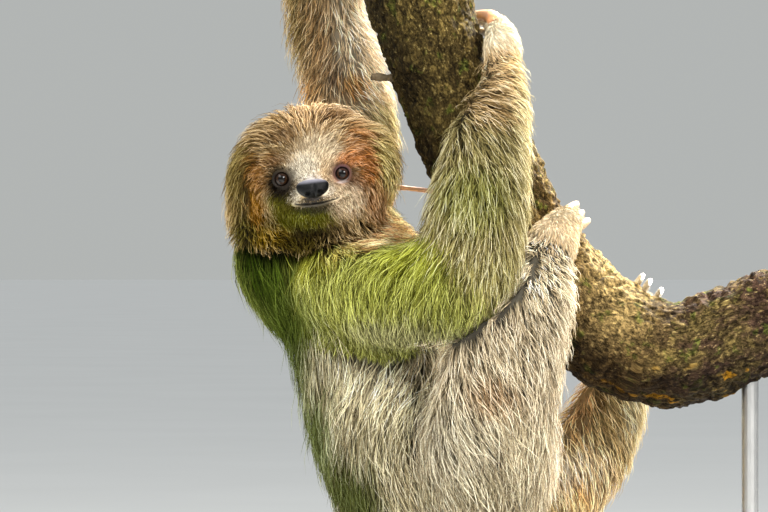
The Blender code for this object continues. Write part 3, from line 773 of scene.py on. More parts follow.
skin_co = read(skin.data.vertices, "co", 3)
shares = np.eye(len(FLESH))[part_of(skin_co)]
shares = eased(skin.data, shares, 12, 0.7)
skin_part = shares.argmax(1)
furred = 1 - in_face(skin_co) * np.isin(skin_part, HEAD_SET)
FURRED_SHADE = {"hand": 0.45, "foot": 0.5, "left": 0.7}  # how far the skin counts as furred, for its roughness and its painted shade: less under the thin coats of hands and feet, and on the far limbs, which lie in shade
for word, share in FURRED_SHADE.items():
    named = [index for index, name in enumerate(FLESH) if word in name]
    furred = np.where(np.isin(skin_part, named), furred * share, furred)
give_colour(skin.data, "marking", markings(skin_co, skin_part, bare=True))
give_value(skin.data, "furred", furred)
print("parts on the skin:", len(set(skin_part)))

# %% Skin finish
COAT_SHADE_ON_SKIN = 0.93  # painted shade: how much darker the skin is drawn under a deep coat
CREASE_SHADE = 0.5  # and how much painted shade where two parts of the body touch


def skin_finish():
    """Skin: its markings, with painted shade under a deep coat and where another part lies close over it,
    and pores and fine creases.
    """
    finish = Finish("skin", Roughness=0.6, Specular_IOR_Level=0.15)
    marking = finish.attribute("marking", 0)
    furred_here = finish.attribute("furred")
    mottle = finish.start.spots(finish.place, 0.004, 4.0)
    # Painted shade: the skin is drawn darker under a deep coat and in the creases between parts.
    depth = 1.0 - COAT_SHADE_ON_SKIN * furred_here
    shade = (0.82 + 0.34 * mottle) * depth * (1.0 - CREASE_SHADE * finish.attribute("crease"))
    finish.set(Base_Color=marking.tinted(shade))
    finish.set(Roughness=0.55 + 0.15 * mottle + 0.3 * furred_here)
    pores = finish.start.cells(finish.place, 0.0011)
    finish.bump(pores * 0.6 + mottle, 0.0004, 0.6)
    return finish.material


skin.data.materials.append(skin_finish())
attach(skin, "root")
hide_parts(*FLESH)
print("skin finished")

# %% [markdown]
# The coat grows from the skin. A comb says, at places all over the body, which way the hair lies and
# how long it is, and a point in between takes the average of its neighbours. A few thousand locks are
# traced first: each walks over the skin along the combed direction, rises to the depth of the coat
# and hangs free where the form turns away. The tufts round a lock then follow it and draw in to its
# tip, which leaves the dark partings of a real coat.

# %% The comb
COMB = {  # where (mm), the way it lies, length (mm)
    "core": [
        (-172, -10, 345, -0.1, 0, -1, 36), (-165, -20, 318, -0.02, 0, -1, 38),
        (-160, -40, 290, 0.2, 0, -1, 36), (-140, -50, 278, 0.5, 0, -1, 34),
        (-115, -50, 290, 0.4, 0, -1, 26), (-120, -45, 308, 0.5, 0, -0.9, 16),
        (-95, -40, 312, 0.8, 0, -0.5, 14), (-82, -30, 318, 1, 0, -0.15, 11),
        (-150, -40, 250, 0.15, 0, -1, 34), (-140, -30, 215, 0.05, 0, -1, 32),
        (-115, -55, 240, 0.05, 0, -1, 30), (-85, -60, 218, -0.5, 0, -0.9, 26),
        (-62, -60, 226, -0.85, 0, -0.45, 22), (-68, -60, 195, -0.2, 0, -1, 26),
        (-100, -60, 190, -0.15, 0, -1, 30), (-128, -40, 175, 0.1, 0, -1, 30),
        (-105, -60, 150, 0.4, 0, -1, 30), (-85, -60, 140, 0.5, 0, -0.9, 30),
        (-60, -60, 130, 0.4, 0, -0.9, 28), (-110, -20, 130, 0.25, 0, -1, 28),
        (-60, -40, 100, 0.2, 0, -1, 24), (-30, -30, 80, 0.1, 0, -1, 20),
        (-165, 20, 320, -0.05, 0.1, -1, 36), (-150, 40, 270, 0.1, 0.1, -1, 34),
        (-125, 55, 220, 0.1, 0.1, -1, 30), (-100, 58, 170, 0.1, 0.1, -1, 30),
        (-75, 58, 130, 0.15, 0.1, -1, 28), (-50, 40, 95, 0.1, 0, -1, 22),
        (-60, 0, 250, 0.3, 0, -0.9, 18), (-40, 0, 200, 0.1, 0, -1, 20), (-10, 0, 150, 0.2, 0, -1, 20),
        (10, 0, 110, 0.2, 0, -1, 20), (-105, 3, 85, -0.75, 0, -0.65, 12),
        (-120, 3, 70, -0.7, 0, -0.75, 10),
    ],
    "right_arm": [
        (-120, -65, 285, 0.15, -0.1, -1, 28), (-98, -80, 290, 0, 0, -1, 27),
        (-75, -90, 295, -0.3, 0, -0.9, 27), (-55, -100, 290, -0.5, 0, -0.85, 27),
        (-40, -108, 302, -0.4, 0, -0.9, 28), (-30, -110, 285, -0.1, 0, -1, 28),
        (-12, -105, 285, 0.3, 0, -0.95, 26), (-100, -70, 262, 0.05, 0, -1, 22),
        (-75, -80, 252, 0.05, 0, -1, 17), (-45, -90, 257, 0.2, 0, -1, 20),
        (-18, -95, 264, 0.15, 0, -1, 20), (-80, -30, 260, 0, 0.1, -1, 8),
        (-105, -58, 243, 0.1, 0.3, -0.9, 10), (-80, -55, 238, 0, 0.5, -0.8, 8),
        (-55, -58, 238, 0, 0.5, -0.8, 9), (-95, -32, 245, 0, 0.4, -0.8, 7),
        (-50, -85, 330, -0.18, 0, -0.95, 26), (-25, -105, 330, 0.05, 0, -1, 28),
        (2, -100, 325, 0.12, 0, -0.98, 26), (-45, -70, 370, 0.45, 0, -0.85, 20),
        (-22, -92, 370, 0.3, 0, -0.95, 24), (5, -80, 370, 0.32, 0, -0.9, 22),
        (-35, -55, 405, 0.9, 0, -0.45, 16), (-14, -70, 405, 0.75, 0, -0.65, 17),
        (8, -60, 400, 0.7, 0, -0.75, 16), (-22, -42, 430, 0.85, 0, -0.5, 13),
        (-8, -52, 430, 0.8, 0, -0.6, 13), (8, -40, 430, 0.85, 0, -0.55, 12),
        (-8, -35, 450, 0.3, -0.1, -0.95, 9), (-10, -5, 468, 0.4, -0.4, -0.6, 5),
        (-10, 0, 380, 0, 0.2, -1, 16), (-10, -20, 330, 0, 0.2, -1, 18),
    ],
    "left_arm": [
        (-155, 50, 440, -0.45, 0, -0.85, 18), (-128, 40, 440, -0.15, 0, -1, 13),
        (-100, 45, 425, 0.35, 0, -0.9, 16), (-86, 50, 388, 0.95, 0, -0.35, 32),
        (-93, 45, 408, 0.8, 0, -0.6, 24), (-90, 60, 350, 0.5, 0, -0.85, 20),
        (-140, 40, 480, -0.3, 0, -0.95, 15), (-115, 45, 480, 0.2, 0, -1, 12),
        (-125, 100, 400, 0, 0.3, -1, 22), (-115, 100, 350, 0, 0.3, -1, 24),
        (-130, 95, 470, 0, 0.2, -1, 17), (-110, 50, 535, -0.1, 0, -1, 12),
        (-110, 85, 535, 0, 0.2, -1, 12), (-80, 50, 570, -0.5, 0, -0.6, 6),
        (-60, 35, 588, -0.6, 0.2, -0.4, 4), (-125, 60, 320, 0.1, 0.3, -1, 28),
    ],
    "right_leg": [
        (-55, -75, 225, -0.5, 0, -0.8, 22), (-50, -85, 205, 0.45, 0, -0.95, 24),
        (-45, -95, 190, 0.8, 0, -0.7, 27), (-25, -110, 205, 0.75, 0, -0.65, 24),
        (-35, -100, 165, 0.65, 0, -0.8, 28), (-5, -110, 190, 0.35, 0, -0.95, 25),
        (15, -95, 190, -0.05, 0, -1, 24), (-10, -100, 155, 0.25, 0, -1, 28),
        (20, -85, 150, -0.1, 0, -1, 26), (-45, -75, 130, 0.55, 0, -0.85, 28),
        (-15, -80, 120, 0.15, 0, -1, 26), (25, -60, 130, 0.1, 0, -1, 24),
        (-32, -105, 238, 0.5, 0, -0.9, 22), (-5, -110, 235, 0.3, 0, -0.95, 21),
        (24, -100, 235, 0.05, 0, -1, 20), (-12, -95, 268, 0.05, 0, -1, 17),
        (15, -95, 265, 0.2, 0, -1, 16), (40, -80, 262, 0.3, 0, -0.95, 15),
        (5, -80, 290, -0.35, 0, -0.9, 10), (22, -82, 292, 0.15, 0, -0.95, 10),
        (44, -65, 290, 0.55, 0, -0.85, 10), (30, -65, 312, -0.2, 0, -0.9, 6),
        (42, -50, 312, 0.3, 0, -0.9, 5), (38, -35, 330, 0.2, -0.3, -0.8, 4),
        (20, -40, 220, 0.1, 0.1, -1, 15), (10, -40, 170, 0.1, 0, -1, 18),
    ],
    "left_leg": [
        (50, 30, 170, 0.25, -0.1, -1, 20), (80, 40, 190, 0.5, 0, -0.9, 20),
        (95, 60, 200, 0.6, 0, -0.8, 18), (60, 90, 160, 0.1, 0.2, -1, 20),
        (20, 60, 110, 0.1, 0.1, -1, 22), (85, 50, 225, 0.4, 0, -0.9, 13), (95, 50, 250, 0.3, 0, -0.9, 8),
        (92, 40, 265, 0.1, -0.1, -0.9, 4), (30, 20, 110, 0.2, 0, -1, 18), (70, 60, 140, 0.2, 0, -1, 22),
    ],
}
HEAD_COMB = [  # the same in the head's frame: right, forward, up
    (0, 42, 0, 0, -0.4, 1, 2.5), (0, 46, -6, 0, -0.3, 1, 1.5), (0, 32, 14, 0, -0.3, 1, 9),
    (-12, 32, 12, -0.5, -0.2, 0.8, 9), (12, 32, 12, 0.5, -0.2, 0.8, 9), (0, 22, 28, -0.1, -0.5, 1, 15),
    (-18, 20, 26, -0.8, -0.3, 0.7, 16), (18, 20, 26, 0.8, -0.3, 0.6, 16),
    (-25, 28, 5, -0.8, -0.2, 0.5, 9), (25, 28, 5, 0.8, -0.2, 0.5, 9),
    (-34, 20, -6, -0.9, -0.4, -0.2, 11), (34, 20, -6, 0.9, -0.4, -0.2, 11),
    (-22, 30, -17, -0.7, -0.2, -0.7, 6), (22, 30, -17, 0.7, -0.2, -0.6, 7),
    (-10, 42, -19, -0.6, -0.2, -0.6, 2.6), (10, 42, -19, 0.6, -0.2, -0.6, 2.6),
    (0, 36, -32, 0, -0.3, -1, 6), (-16, 28, -31, -0.5, -0.3, -0.8, 7), (16, 28, -31, 0.5, -0.3, -0.8, 8),
    (0, 12, -44, 0.5, -0.3, -0.8, 6), (-34, 4, -50, 0.6, -0.2, -0.6, 4),
    (-32, -20, -42, 0.3, -0.3, -1, 5), (0, -30, -42, 0, -0.3, -1, 8), (0, 5, 42, -0.2, -1, 0.1, 20),
    (-25, 15, 36, -0.9, -0.4, 0, 22), (25, 15, 36, 0.9, -0.4, -0.1, 20),
    (-44, 8, 20, -0.6, -0.3, -0.8, 28), (44, 8, 20, 0.5, -0.3, -0.8, 22),
    (-54, 2, -8, -0.1, -0.1, -1, 18), (55, 2, -8, 0.05, -0.2, -1, 24), (-44, 12, -12, 0.1, 0.1, -1, 16),
    (-40, 14, -30, 0.7, 0.1, -0.7, 13), (-28, 16, -42, 1, 0.1, -0.1, 12), (-50, 0, -36, 0.35, 0, -1, 6),
    (44, 10, -26, 0, -0.2, -1, 15), (36, 12, -38, -0.2, -0.1, -1, 10), (0, -46, 10, 0, -0.3, -1, 30),
    (-36, -34, 0, -0.2, -0.2, -1, 20), (36, -34, 0, 0.2, -0.2, -1, 28), (0, -28, 38, 0, -1, -0.35, 26),
    (-30, -20, 32, -0.7, -0.6, -0.5, 28), (30, -20, 32, 0.7, -0.6, -0.5, 24),
]


COMB_REACH = 17.0  # millimetres over which one row of the comb gives way to the next
EYE_CLEAR = 6.6  # millimetres round an eye's middle where no hair grows
MOUTH_CLEAR = 1.3
NOSE_BARE = (1.2, -15.8, 10.6, 7.0)  # the nose pad's middle, half width and half height


def comb_table():
    """Per zone: places and directions in metres, and lengths in millimetres."""
    table = {}
    for zone, rows in COMB.items():
        rows = np.array(rows, float)
        table[zone] = (rows[:, :3] * MM, rows[:, 3:6], rows[:, 6])
    rows = np.array(HEAD_COMB, float)
    table["head"] = (from_head(rows[:, :3]), rows[:, 3:6] @ HEAD_AXES, rows[:, 6])
    return table


COMB_TABLE = comb_table()


def unit(vectors):
    return vectors / np.maximum(np.linalg.norm(vectors, axis=1, keepdims=True), 1e-9)


def along_skin(vectors, normals):
    """Directions laid flat on the skin."""
    return unit(vectors - normals * (vectors * normals).sum(1)[:, None])


def clear_of_bare(points):
    """How far points of the face lie from the bare eyes, nose pad and lips, in millimetres."""
    right, forward, up = to_head(points).T
    clear = [np.hypot(right - c[0], up - c[2]) - EYE_CLEAR for c in EYE_CENTRES.values()]
    nose = np.hypot((right - NOSE_BARE[0]) / NOSE_BARE[2], (up - NOSE_BARE[1]) / NOSE_BARE[3])
    clear.append((nose - 1) * NOSE_BARE[3])
    past = np.maximum(MOUTH_ENDS[0] - right, right - MOUTH_ENDS[1])
    clear.append(np.hypot(up - mouth_line(right), np.maximum(past, 0.0)) - MOUTH_CLEAR)
    return np.where(forward > 12.0, np.min(clear, axis=0), 99.0)


def combed(zone, points):
    """The way the hair lies at points of a zone, and its length in metres."""
    places, ways, lengths = COMB_TABLE[zone]
    off = np.linalg.norm(points[:, None, :] - places[None], axis=2)
    reach = COMB_REACH * MM * (0.6 if zone == "head" else 1.0)
    nearest = off.min(1, keepdims=True)
    weight = np.exp(-((off - nearest) / reach) * 1.6)
    weight /= weight.sum(1, keepdims=True)
    way, length = weight @ unit(ways), weight @ lengths * MM
    if zone == "head":
        right, forward, up = to_head(points).T
        for centre in EYE_CENTRES.values():
            away = np.c_[right - centre[0], 0 * right, up - centre[2]]
            near = 0.8 * (1 - ramp(np.linalg.norm(away, axis=1), 7.0, 13.0)) * (forward > 12.0)
            way = way * (1 - near)[:, None] + unit(away) @ HEAD_AXES * near[:, None]
        length = length * (0.3 + 0.7 * ramp(clear_of_bare(points), 0.0, 6.0))
    return way, length


print({zone: len(rows[0]) for zone, rows in COMB_TABLE.items()}, "rows in the comb")

# %% The skin as a ground to walk on
skin_bm = bmesh.new()
skin_bm.from_mesh(skin.data)
bmesh.ops.triangulate(skin_bm, faces=skin_bm.faces)
ground_mesh = bpy.data.meshes.new("ground")
skin_bm.to_mesh(ground_mesh)
skin_tree = BVHTree.FromBMesh(skin_bm)
skin_bm.free()
ground_co = read(ground_mesh.vertices, "co", 3)
ground_normal = read(ground_mesh.vertex_normals, "vector", 3)
ground_faces = np.empty(len(ground_mesh.polygons) * 3, np.int32)
ground_mesh.polygons.foreach_get("vertices", ground_faces)
ground_faces = ground_faces.reshape(-1, 3)
face_normal = unit(ground_normal[ground_faces].sum(1))
corners = ground_co[ground_faces]
edge_pairs = corners[:, 1] - corners[:, 0], corners[:, 2] - corners[:, 0]
face_area = np.linalg.norm(np.cross(*edge_pairs), axis=1) / 2
depth_field = eased(ground_mesh, np.array([COAT_DEPTH[n] for n in FLESH])[skin_part], 12)[:, 0]
face_field = in_face(ground_co) * np.isin(skin_part, HEAD_SET)
depth_field = (depth_field * (1 - face_field) + FACE_DEPTH * face_field) * MM


def under_shoulder(points):
    """1 just below the hem of the shoulder's coat, where the flank's coat starts low, else 0."""
    x, y, _ = points.T / MM
    above = hem_height(points)
    span = ramp(x, -142, -128) * (1 - ramp(x, -46, -38)) * (1 - ramp(y, 0, 20))
    return span * (1 - ramp(above, 22, 30)) * ramp(above, -26, -2)


hem_field = under_shoulder(ground_co) * np.isin(skin_part, [FLESH.index("neck"), FLESH.index("trunk")])
depth_field *= 1 - 0.7 * hem_field
hem_share = hem_field[ground_faces].mean(1)


def hidden(reach):
    """1 where another part of the body lies over the skin within this reach, else 0."""
    start = ground_co + 1.0 * MM * ground_normal
    hits = [skin_tree.ray_cast(p, n, reach)[0] for p, n in zip(start.tolist(), ground_normal.tolist())]
    return eased(ground_mesh, np.array([hit is not None for hit in hits], float), 2)[:, 0]


PRESSED = 6.0 * MM  # closer than this, another part thins the coat
CREASED = 24.0 * MM  # closer than this, it keeps the light off the skin
face_open = (1 - 0.5 * hidden(PRESSED))[ground_faces].mean(1)
# the skin's painted shade in creases, where another part lies within CREASED
give_value(skin.data, "crease", hidden(CREASED) * (1 - face_field))
print("ground:", len(ground_faces), "triangles,", round(face_area.sum() * 1e4), "square cm")


def nearest_skin(points):
    """Foot of each point on the skin, and the skin's normal there."""
    found = [skin_tree.find_nearest(p) for p in points.tolist()]
    return np.array([f[0] for f in found]), face_normal[[f[2] for f in found]]


# %% Tracing a lock over the skin
LOCK_STEPS = 6
SINK = 0.6 * MM  # how far a root starts under the skin
LOST = 22.0 * MM  # this far off the skin, a lock no longer follows it
WEIGHT = np.array([0.0, 0.0, -0.15])  # how much a lock hangs, beside the comb's way


def traced(zone, roots, normals, length, depth, follow, way):
    """Paths of locks over the skin: points and normals at LOCK_STEPS + 1 stations."""
    points, ups = [roots], [normals]
    here, up = roots, normals
    heading = way
    for step in range(1, LOCK_STEPS + 1):
        share = step / LOCK_STEPS
        trial = here + heading * (length / LOCK_STEPS)[:, None]
        foot, normal = nearest_skin(trial)
        height = ((trial - foot) * normal).sum(1)
        want = depth * (1 - (1 - share) ** 2.6)
        gap = want - height
        lost = (np.linalg.norm(trial - foot, axis=1) > LOST) | ((normal * up).sum(1) < 0.0)
        pull = np.where(gap > 0, 1.0, follow) * np.where(lost, 0.0, 1.0)
        normal = np.where(lost[:, None], up, normal)
        here = trial + normal * (gap * pull)[:, None]
        aim = along_skin(combed(zone, here)[0] + WEIGHT, normal)
        heading = along_skin(0.6 * heading + 0.4 * aim, normal)
        up = normal
        points.append(here)
        ups.append(up)
    return np.stack(points, 1), np.stack(ups, 1)


def blurred_noise(points, size, seed):
    """A smooth random value from -1 to 1 that changes over about `size` metres."""
    shift = Vector((seed * 7.3, seed * 3.1, seed * 5.7))
    return np.array([noise.noise(Vector(p) / size + shift) for p in points.tolist()])


# %% One tuft
TUFT_SIDES = 3


def tuft_form(rings):
    """A closed thin spike: for each point its ring and corner, and its faces."""
    bm = bmesh.new()
    bmesh.ops.create_circle(bm, cap_ends=True, segments=TUFT_SIDES, radius=1.0)
    for level in range(rings):
        edges = [e for e in bm.edges if len(e.link_faces) < 2 and min(v.co.z for v in e.verts) == level]
        made = bmesh.ops.extrude_edge_only(bm, edges=edges)["geom"]
        grown = [v for v in made if isinstance(v, bmesh.types.BMVert)]
        bmesh.ops.translate(bm, verts=grown, vec=(0.0, 0.0, 1.0))
    bmesh.ops.pointmerge(bm, verts=grown, merge_co=(0.0, 0.0, float(rings)))
    bmesh.ops.recalc_face_normals(bm, faces=bm.faces)
    co = np.array([v.co for v in bm.verts])
    faces = [[v.index for v in f.verts] for f in bm.faces]
    bm.free()
    ring = co[:, 2].round().astype(int)
    corner = np.arctan2(co[:, 1], co[:, 0])
    return ring, corner, faces


for rings in (2, 3):
    ring, corner, faces = tuft_form(rings)
    print("tuft of", rings, "rings:", len(ring), "points,", sum(len(f) - 2 for f in faces), "triangles")

# %% [markdown]
# A coat piece is thousands of these tufts in one mesh, built from arrays. Each has its root's place
# on an unwrap of the skin below it as its patch of the OFBake map, so that a baked picture keeps its
# colour. The marking is read at the part of the tuft that shows, not at its root, since long hair
# hangs over the parts below. Besides it the finish reads how far along the tuft a point lies, and a
# number of the tuft's own: roots are dark, partly their own colour and partly painted shade deep in
# the coat, tips pale, and no two tufts quite alike.

# %% Sowing roots
PATCH = 0.003  # side of a tuft's patch on the OFBake map


def unwrapped(chosen):
    """Corners of the chosen ground faces on a smart projection of their own shape."""
    used, index = np.unique(ground_faces[chosen], return_inverse=True)
    mesh = bpy.data.meshes.new("unwrap")
    mesh.from_pydata(ground_co[used].tolist(), [], index.reshape(-1, 3).tolist())
    obj = linked("unwrap", mesh)
    mesh.uv_layers.active = mesh.uv_layers.new(name="OFBake")
    bpy.ops.object.select_all(action="DESELECT")
    bpy.context.view_layer.objects.active = obj
    obj.select_set(True)
    bpy.ops.object.mode_set(mode="EDIT")
    bpy.ops.mesh.select_all(action="SELECT")
    bpy.ops.uv.smart_project(angle_limit=math.radians(66), island_margin=0.004)
    bpy.ops.object.mode_set(mode="OBJECT")
    uv = read(mesh.uv_layers["OFBake"].data, "uv", 2).reshape(-1, 3, 2)
    bpy.data.objects.remove(obj)
    return uv


def sown(chosen, density, count, random):
    """Roots spread over the chosen faces: places, normals, faces and shares of the corners."""
    weight = np.cumsum(face_area[chosen] * density)
    at = (np.arange(count) + random.random(count)) / count * weight[-1]
    pick = np.minimum(np.searchsorted(weight, at), len(chosen) - 1)
    a, b = random.random((2, count))
    flip = a + b > 1
    a, b = np.where(flip, 1 - a, a), np.where(flip, 1 - b, b)
    share = np.c_[1 - a - b, a, b]
    verts = ground_faces[chosen[pick]]
    places = (ground_co[verts] * share[:, :, None]).sum(1)
    normals = unit((ground_normal[verts] * share[:, :, None]).sum(1))
    depth = (depth_field[verts] * share).sum(1)
    return places, normals, pick, share, depth


# %% Two kinds of tuft
Kind = namedtuple("Kind", "rings reach low spread width tone")
UNDERCOAT = Kind(rings=2, reach=(0.55, 1.02), low=0.75, spread=0.09, width=1.10, tone=(0.0, 0.50))
GUARD_HAIR = Kind(rings=3, reach=(0.70, 1.16), low=0.14, spread=0.16, width=0.66, tone=(0.12, 1.0))
FACE_HAIR = Kind(rings=3, reach=(0.70, 1.20), low=0.10, spread=0.20, width=1.15, tone=(0.0, 1.0))
SHORT_HAIR = Kind(rings=2, reach=(0.60, 1.10), low=0.45, spread=0.14, width=1.0, tone=(0.0, 1.0))
PROFILE = {2: (0.75, 1.0), 3: (0.62, 1.0, 0.80)}  # a tuft's width at its rings
STATIONS = {2: (0.0, 0.45, 1.0), 3: (0.0, 0.36, 0.70, 1.0)}
FLATNESS = 0.62
SHOWN = {2: 1, 3: 2}  # the ring at the part of the tuft that shows, where its colour is read

# %% Locks, and the tufts round them
Locks = namedtuple("Locks", "path ups length tree")


def grown_locks(zone, seed, chosen, density, count, random, follow, wander, longer):
    """Traces the locks that lead the tufts of one piece."""
    at, up, _, _, depth = sown(chosen, density, count, random)
    way, length = combed(zone, at)
    turn = wander * (blurred_noise(at, 0.022, seed) * 2.2 + random.normal(0, 0.55, count))
    way = along_skin(way, up)
    way = unit(way + np.cross(up, way) * turn[:, None])
    length = length * longer * random.uniform(0.82, 1.16, count)
    full = depth * random.uniform(0.86, 1.16, count)
    path, ups = traced(zone, at, up, length, full, follow, way)
    tree = KDTree(count)
    for index, place in enumerate(at.tolist()):
        tree.insert(place, index)
    tree.balance()
    return Locks(path, ups, length, tree)


def tuft_batch(kind, count, locks, chosen, density, random, width, clump, wave, strays):
    """Points of `count` tufts of one kind, each drawn in to its nearest lock's tip."""
    roots, normal, pick, share, depth = sown(chosen, density, count, random)
    mine = np.array([locks.tree.find(p)[1] for p in roots.tolist()])
    path, ups, length = locks.path[mine], locks.ups[mine], locks.length[mine]
    stray = random.random(count) < strays
    reach = random.uniform(*kind.reach, count) * np.where(stray, 1.1, 1.0)
    draw = np.where(stray, 0.1, clump * random.uniform(0.6, 1.25, count))
    spread = random.normal(0, kind.spread, count) * np.where(stray, 2.2, 1.0)
    lower = np.where(stray, -0.2, kind.low * random.uniform(0.3, 1.0, count))
    phase = random.uniform(0, 2 * np.pi, (2, count))
    size = width * kind.width * MM / 2 * random.uniform(0.7, 1.25, count)
    index = np.arange(count)
    centres, sides, uppers = [], [], []
    for t in STATIONS[kind.rings]:
        at = t * reach * LOCK_STEPS
        low = np.minimum(at.astype(int), LOCK_STEPS - 1)
        part = (at - low)[:, None]
        guide = path[index, low] * (1 - part) + path[index, low + 1] * part
        part = np.minimum(part, 1)
        up = unit(ups[index, low] * (1 - part) + ups[index, low + 1] * part)
        tangent = unit(path[index, low + 1] - path[index, low])
        across = unit(np.cross(tangent, up))
        offset = (roots - path[:, 0]) * (1 - draw * t**1.15)[:, None]
        bend = spread * length * t**1.3 + wave * MM * t * np.sin(phase[0] + 7.0 * t)
        sag = -lower * depth * (1 - (1 - t) ** 2.2) + 0.4 * wave * MM * t * np.sin(phase[1] + 6.0 * t)
        centres.append(guide + offset + across * bend[:, None] + up * (sag - SINK * (1 - t))[:, None])
        sides.append(across)
        uppers.append(np.cross(across, tangent))
    centres, sides, uppers = (np.stack(v, 1) for v in (centres, sides, uppers))
    ring, corner, faces = tuft_form(kind.rings)
    radius = size[:, None] * np.r_[PROFILE[kind.rings], 0.0][ring][None]
    co = (centres[:, ring] + sides[:, ring] * (radius * np.cos(corner))[:, :, None]
          + uppers[:, ring] * (radius * np.sin(corner) * FLATNESS)[:, :, None])
    tone = random.uniform(*kind.tone, count)
    return co, (ring, corner, faces), centres[:, SHOWN[kind.rings]], pick, share, tone


# %% Growing one piece of the coat
BORDER_BLUR = 3.0 * MM  # how far a tuft may read its colour off its own place
COAT_TRIANGLES = {}


def growth(name, seed, zone, chosen, sets, locks, width, slot, finish, density=None,
           follow=0.55, clump=0.58, wander=0.34, wave=1.15, strays=0.10, longer=1.12):
    """Grows sets of (kind, count) tufts round `locks` locks on the chosen faces, as one piece."""
    random = np.random.default_rng(seed)
    density = face_open[chosen] * (1 - 0.3 * hem_share[chosen]) * (1.0 if density is None else density)
    uv_corners = unwrapped(chosen)
    led = grown_locks(zone, seed, chosen, density, locks, random, follow, wander, longer)
    places, loops, totals, uv, colours, along, strand = [], [], [], [], [], [], []
    first = 0
    for kind, count in sets:
        co, (ring, corner, faces), shown, pick, share, tone = tuft_batch(
            kind, count, led, chosen, density, random, width, clump, wave, strays)
        points = len(ring)
        face_loops = np.concatenate([np.array(f) for f in faces])
        base = first + np.arange(count)[:, None] * points
        first += count * points
        places.append(co.reshape(-1, 3))
        loops.append((face_loops + base).ravel())
        totals.append(np.tile([len(f) for f in faces], count))
        root_uv = (uv_corners[pick] * share[:, :, None]).sum(1)
        stations = np.array(STATIONS[kind.rings])
        own = np.c_[corner[face_loops] / (2 * np.pi), stations[ring[face_loops]] - 0.5] * PATCH
        uv.append((root_uv[:, None] + own[None]).reshape(-1, 2))
        jitter = random.normal(0, BORDER_BLUR, (count, 3)) * (0.5 if zone == "head" else 1.0)
        colour = markings(shown + jitter, face_part[chosen[pick]])
        colours.append(np.repeat(colour, points, 0))
        along.append(np.tile(stations[ring], count))
        strand.append(np.repeat(tone, points))
    loops, totals = np.concatenate(loops), np.concatenate(totals)
    mesh = bpy.data.meshes.new(name)
    mesh.vertices.add(first)
    mesh.vertices.foreach_set("co", np.concatenate(places).astype(np.float32).ravel())
    mesh.loops.add(len(loops))
    mesh.loops.foreach_set("vertex_index", loops.astype(np.int32))
    mesh.polygons.add(len(totals))
    mesh.polygons.foreach_set("loop_start", np.r_[0, np.cumsum(totals)[:-1]].astype(np.int32))
    mesh.polygons.foreach_set("use_smooth", np.ones(len(totals), bool))
    mesh.update(calc_edges=True)
    layer = mesh.uv_layers.new(name="OFBake")
    layer.data.foreach_set("uv", np.concatenate(uv).astype(np.float32).ravel())
    give_colour(mesh, "marking", np.concatenate(colours))
    give_value(mesh, "along", np.concatenate(along))
    give_value(mesh, "strand", np.concatenate(strand))
    mesh.materials.append(finish)
    obj = linked(name, mesh)
    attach(obj, "root")
    triangles = int((totals - 2).sum())
    COAT_TRIANGLES[name] = triangles
    print(name, sum(count for _, count in sets), "tufts,", triangles, "triangles")


# %% Coat finishes
def coat_finish(name, root_shade, darkest, lightest, gain, stain, tip, tip_share=0.4):
    """Hair: the marking, dark at the root, partly its own colour and partly painted shade, and from deep
    brown to pale from tuft to tuft.
    """
    finish = Finish(name, Roughness=0.65, Specular_IOR_Level=0.05)
    marking = finish.attribute("marking", 0)
    along = finish.attribute("along")
    strand = finish.attribute("strand")
    light = finish.start.node("ShaderNodeRGBToBW", {}, {0: marking}).between(0.03, 0.34)
    # Painted shade: the root end is drawn dark, partly the hair's own darker root and partly the shade of
    # the deep coat and the gaps between tufts.
    shade = root_shade + (1.0 - root_shade) * along.between(0.0, 0.5) + 0.14 * along.between(0.5, 1.0)
    streak = finish.start.spots(finish.place, 0.0022, 2.0)
    own = darkest + (lightest - darkest) * strand
    deep = ((1.0 - strand) * 0.7).mix(marking, marking.multiplied(rgba(*stain)))
    grey = deep.tinted(shade * own * gain * (0.84 + 0.32 * streak), clamp=True)
    bleached = strand.between(0.5, 1.0) * along.between(0.2, 0.8) * light * tip_share
    finish.set(Base_Color=bleached.mix(grey, rgba(*tip)))
    return finish.material


# COAT_NECK, COAT_SOFT, COAT_LEG and COAT_SHANK are lighter copies of the coat with painted light: they
# lift the throat in the chin's shadow, the far arm and leg in the branch's shadow, and the shank below
# the arm; the far arm's copy is also lower in contrast.
COAT = coat_finish("coat", 0.26, 0.20, 1.36, 1.55, (172, 150, 118), (252, 246, 230), 0.60)
COAT_GREEN = coat_finish("coat_green", 0.24, 0.15, 1.34, 1.46, (164, 152, 100), (238, 236, 178), 0.34)
COAT_NECK = coat_finish("coat_neck", 0.28, 0.20, 1.30, 1.72, (172, 150, 108), (246, 238, 200), 0.42)
COAT_HEAD = coat_finish("coat_head", 0.26, 0.16, 1.38, 1.48, (172, 142, 100), (246, 232, 202), 0.5)
COAT_SOFT = coat_finish("coat_soft", 0.46, 0.44, 1.24, 1.54, (200, 176, 140), (255, 246, 226), 0.4)
COAT_LEG = coat_finish("coat_leg", 0.36, 0.32, 1.30, 1.74, (176, 152, 112), (250, 240, 210), 0.62)
COAT_SHANK = coat_finish("coat_shank", 0.36, 0.30, 1.28, 1.60, (190, 168, 132), (255, 248, 234), 0.6)
COAT_FACE = coat_finish("coat_face", 0.50, 0.42, 1.32, 0.98, (176, 150, 116), (250, 242, 222), 0.35)
COAT_PALE = coat_finish("coat_pale", 0.66, 0.66, 1.10, 1.05, (214, 190, 156), (255, 248, 232), 0.4)

# %% Which faces each piece grows on
face_part = skin_part[ground_faces].astype(int)
face_part = np.where(face_part[:, 1] == face_part[:, 2], face_part[:, 1], face_part[:, 0])
face_mid = ground_co[ground_faces].mean(1)
face_share = face_field[ground_faces].mean(1)


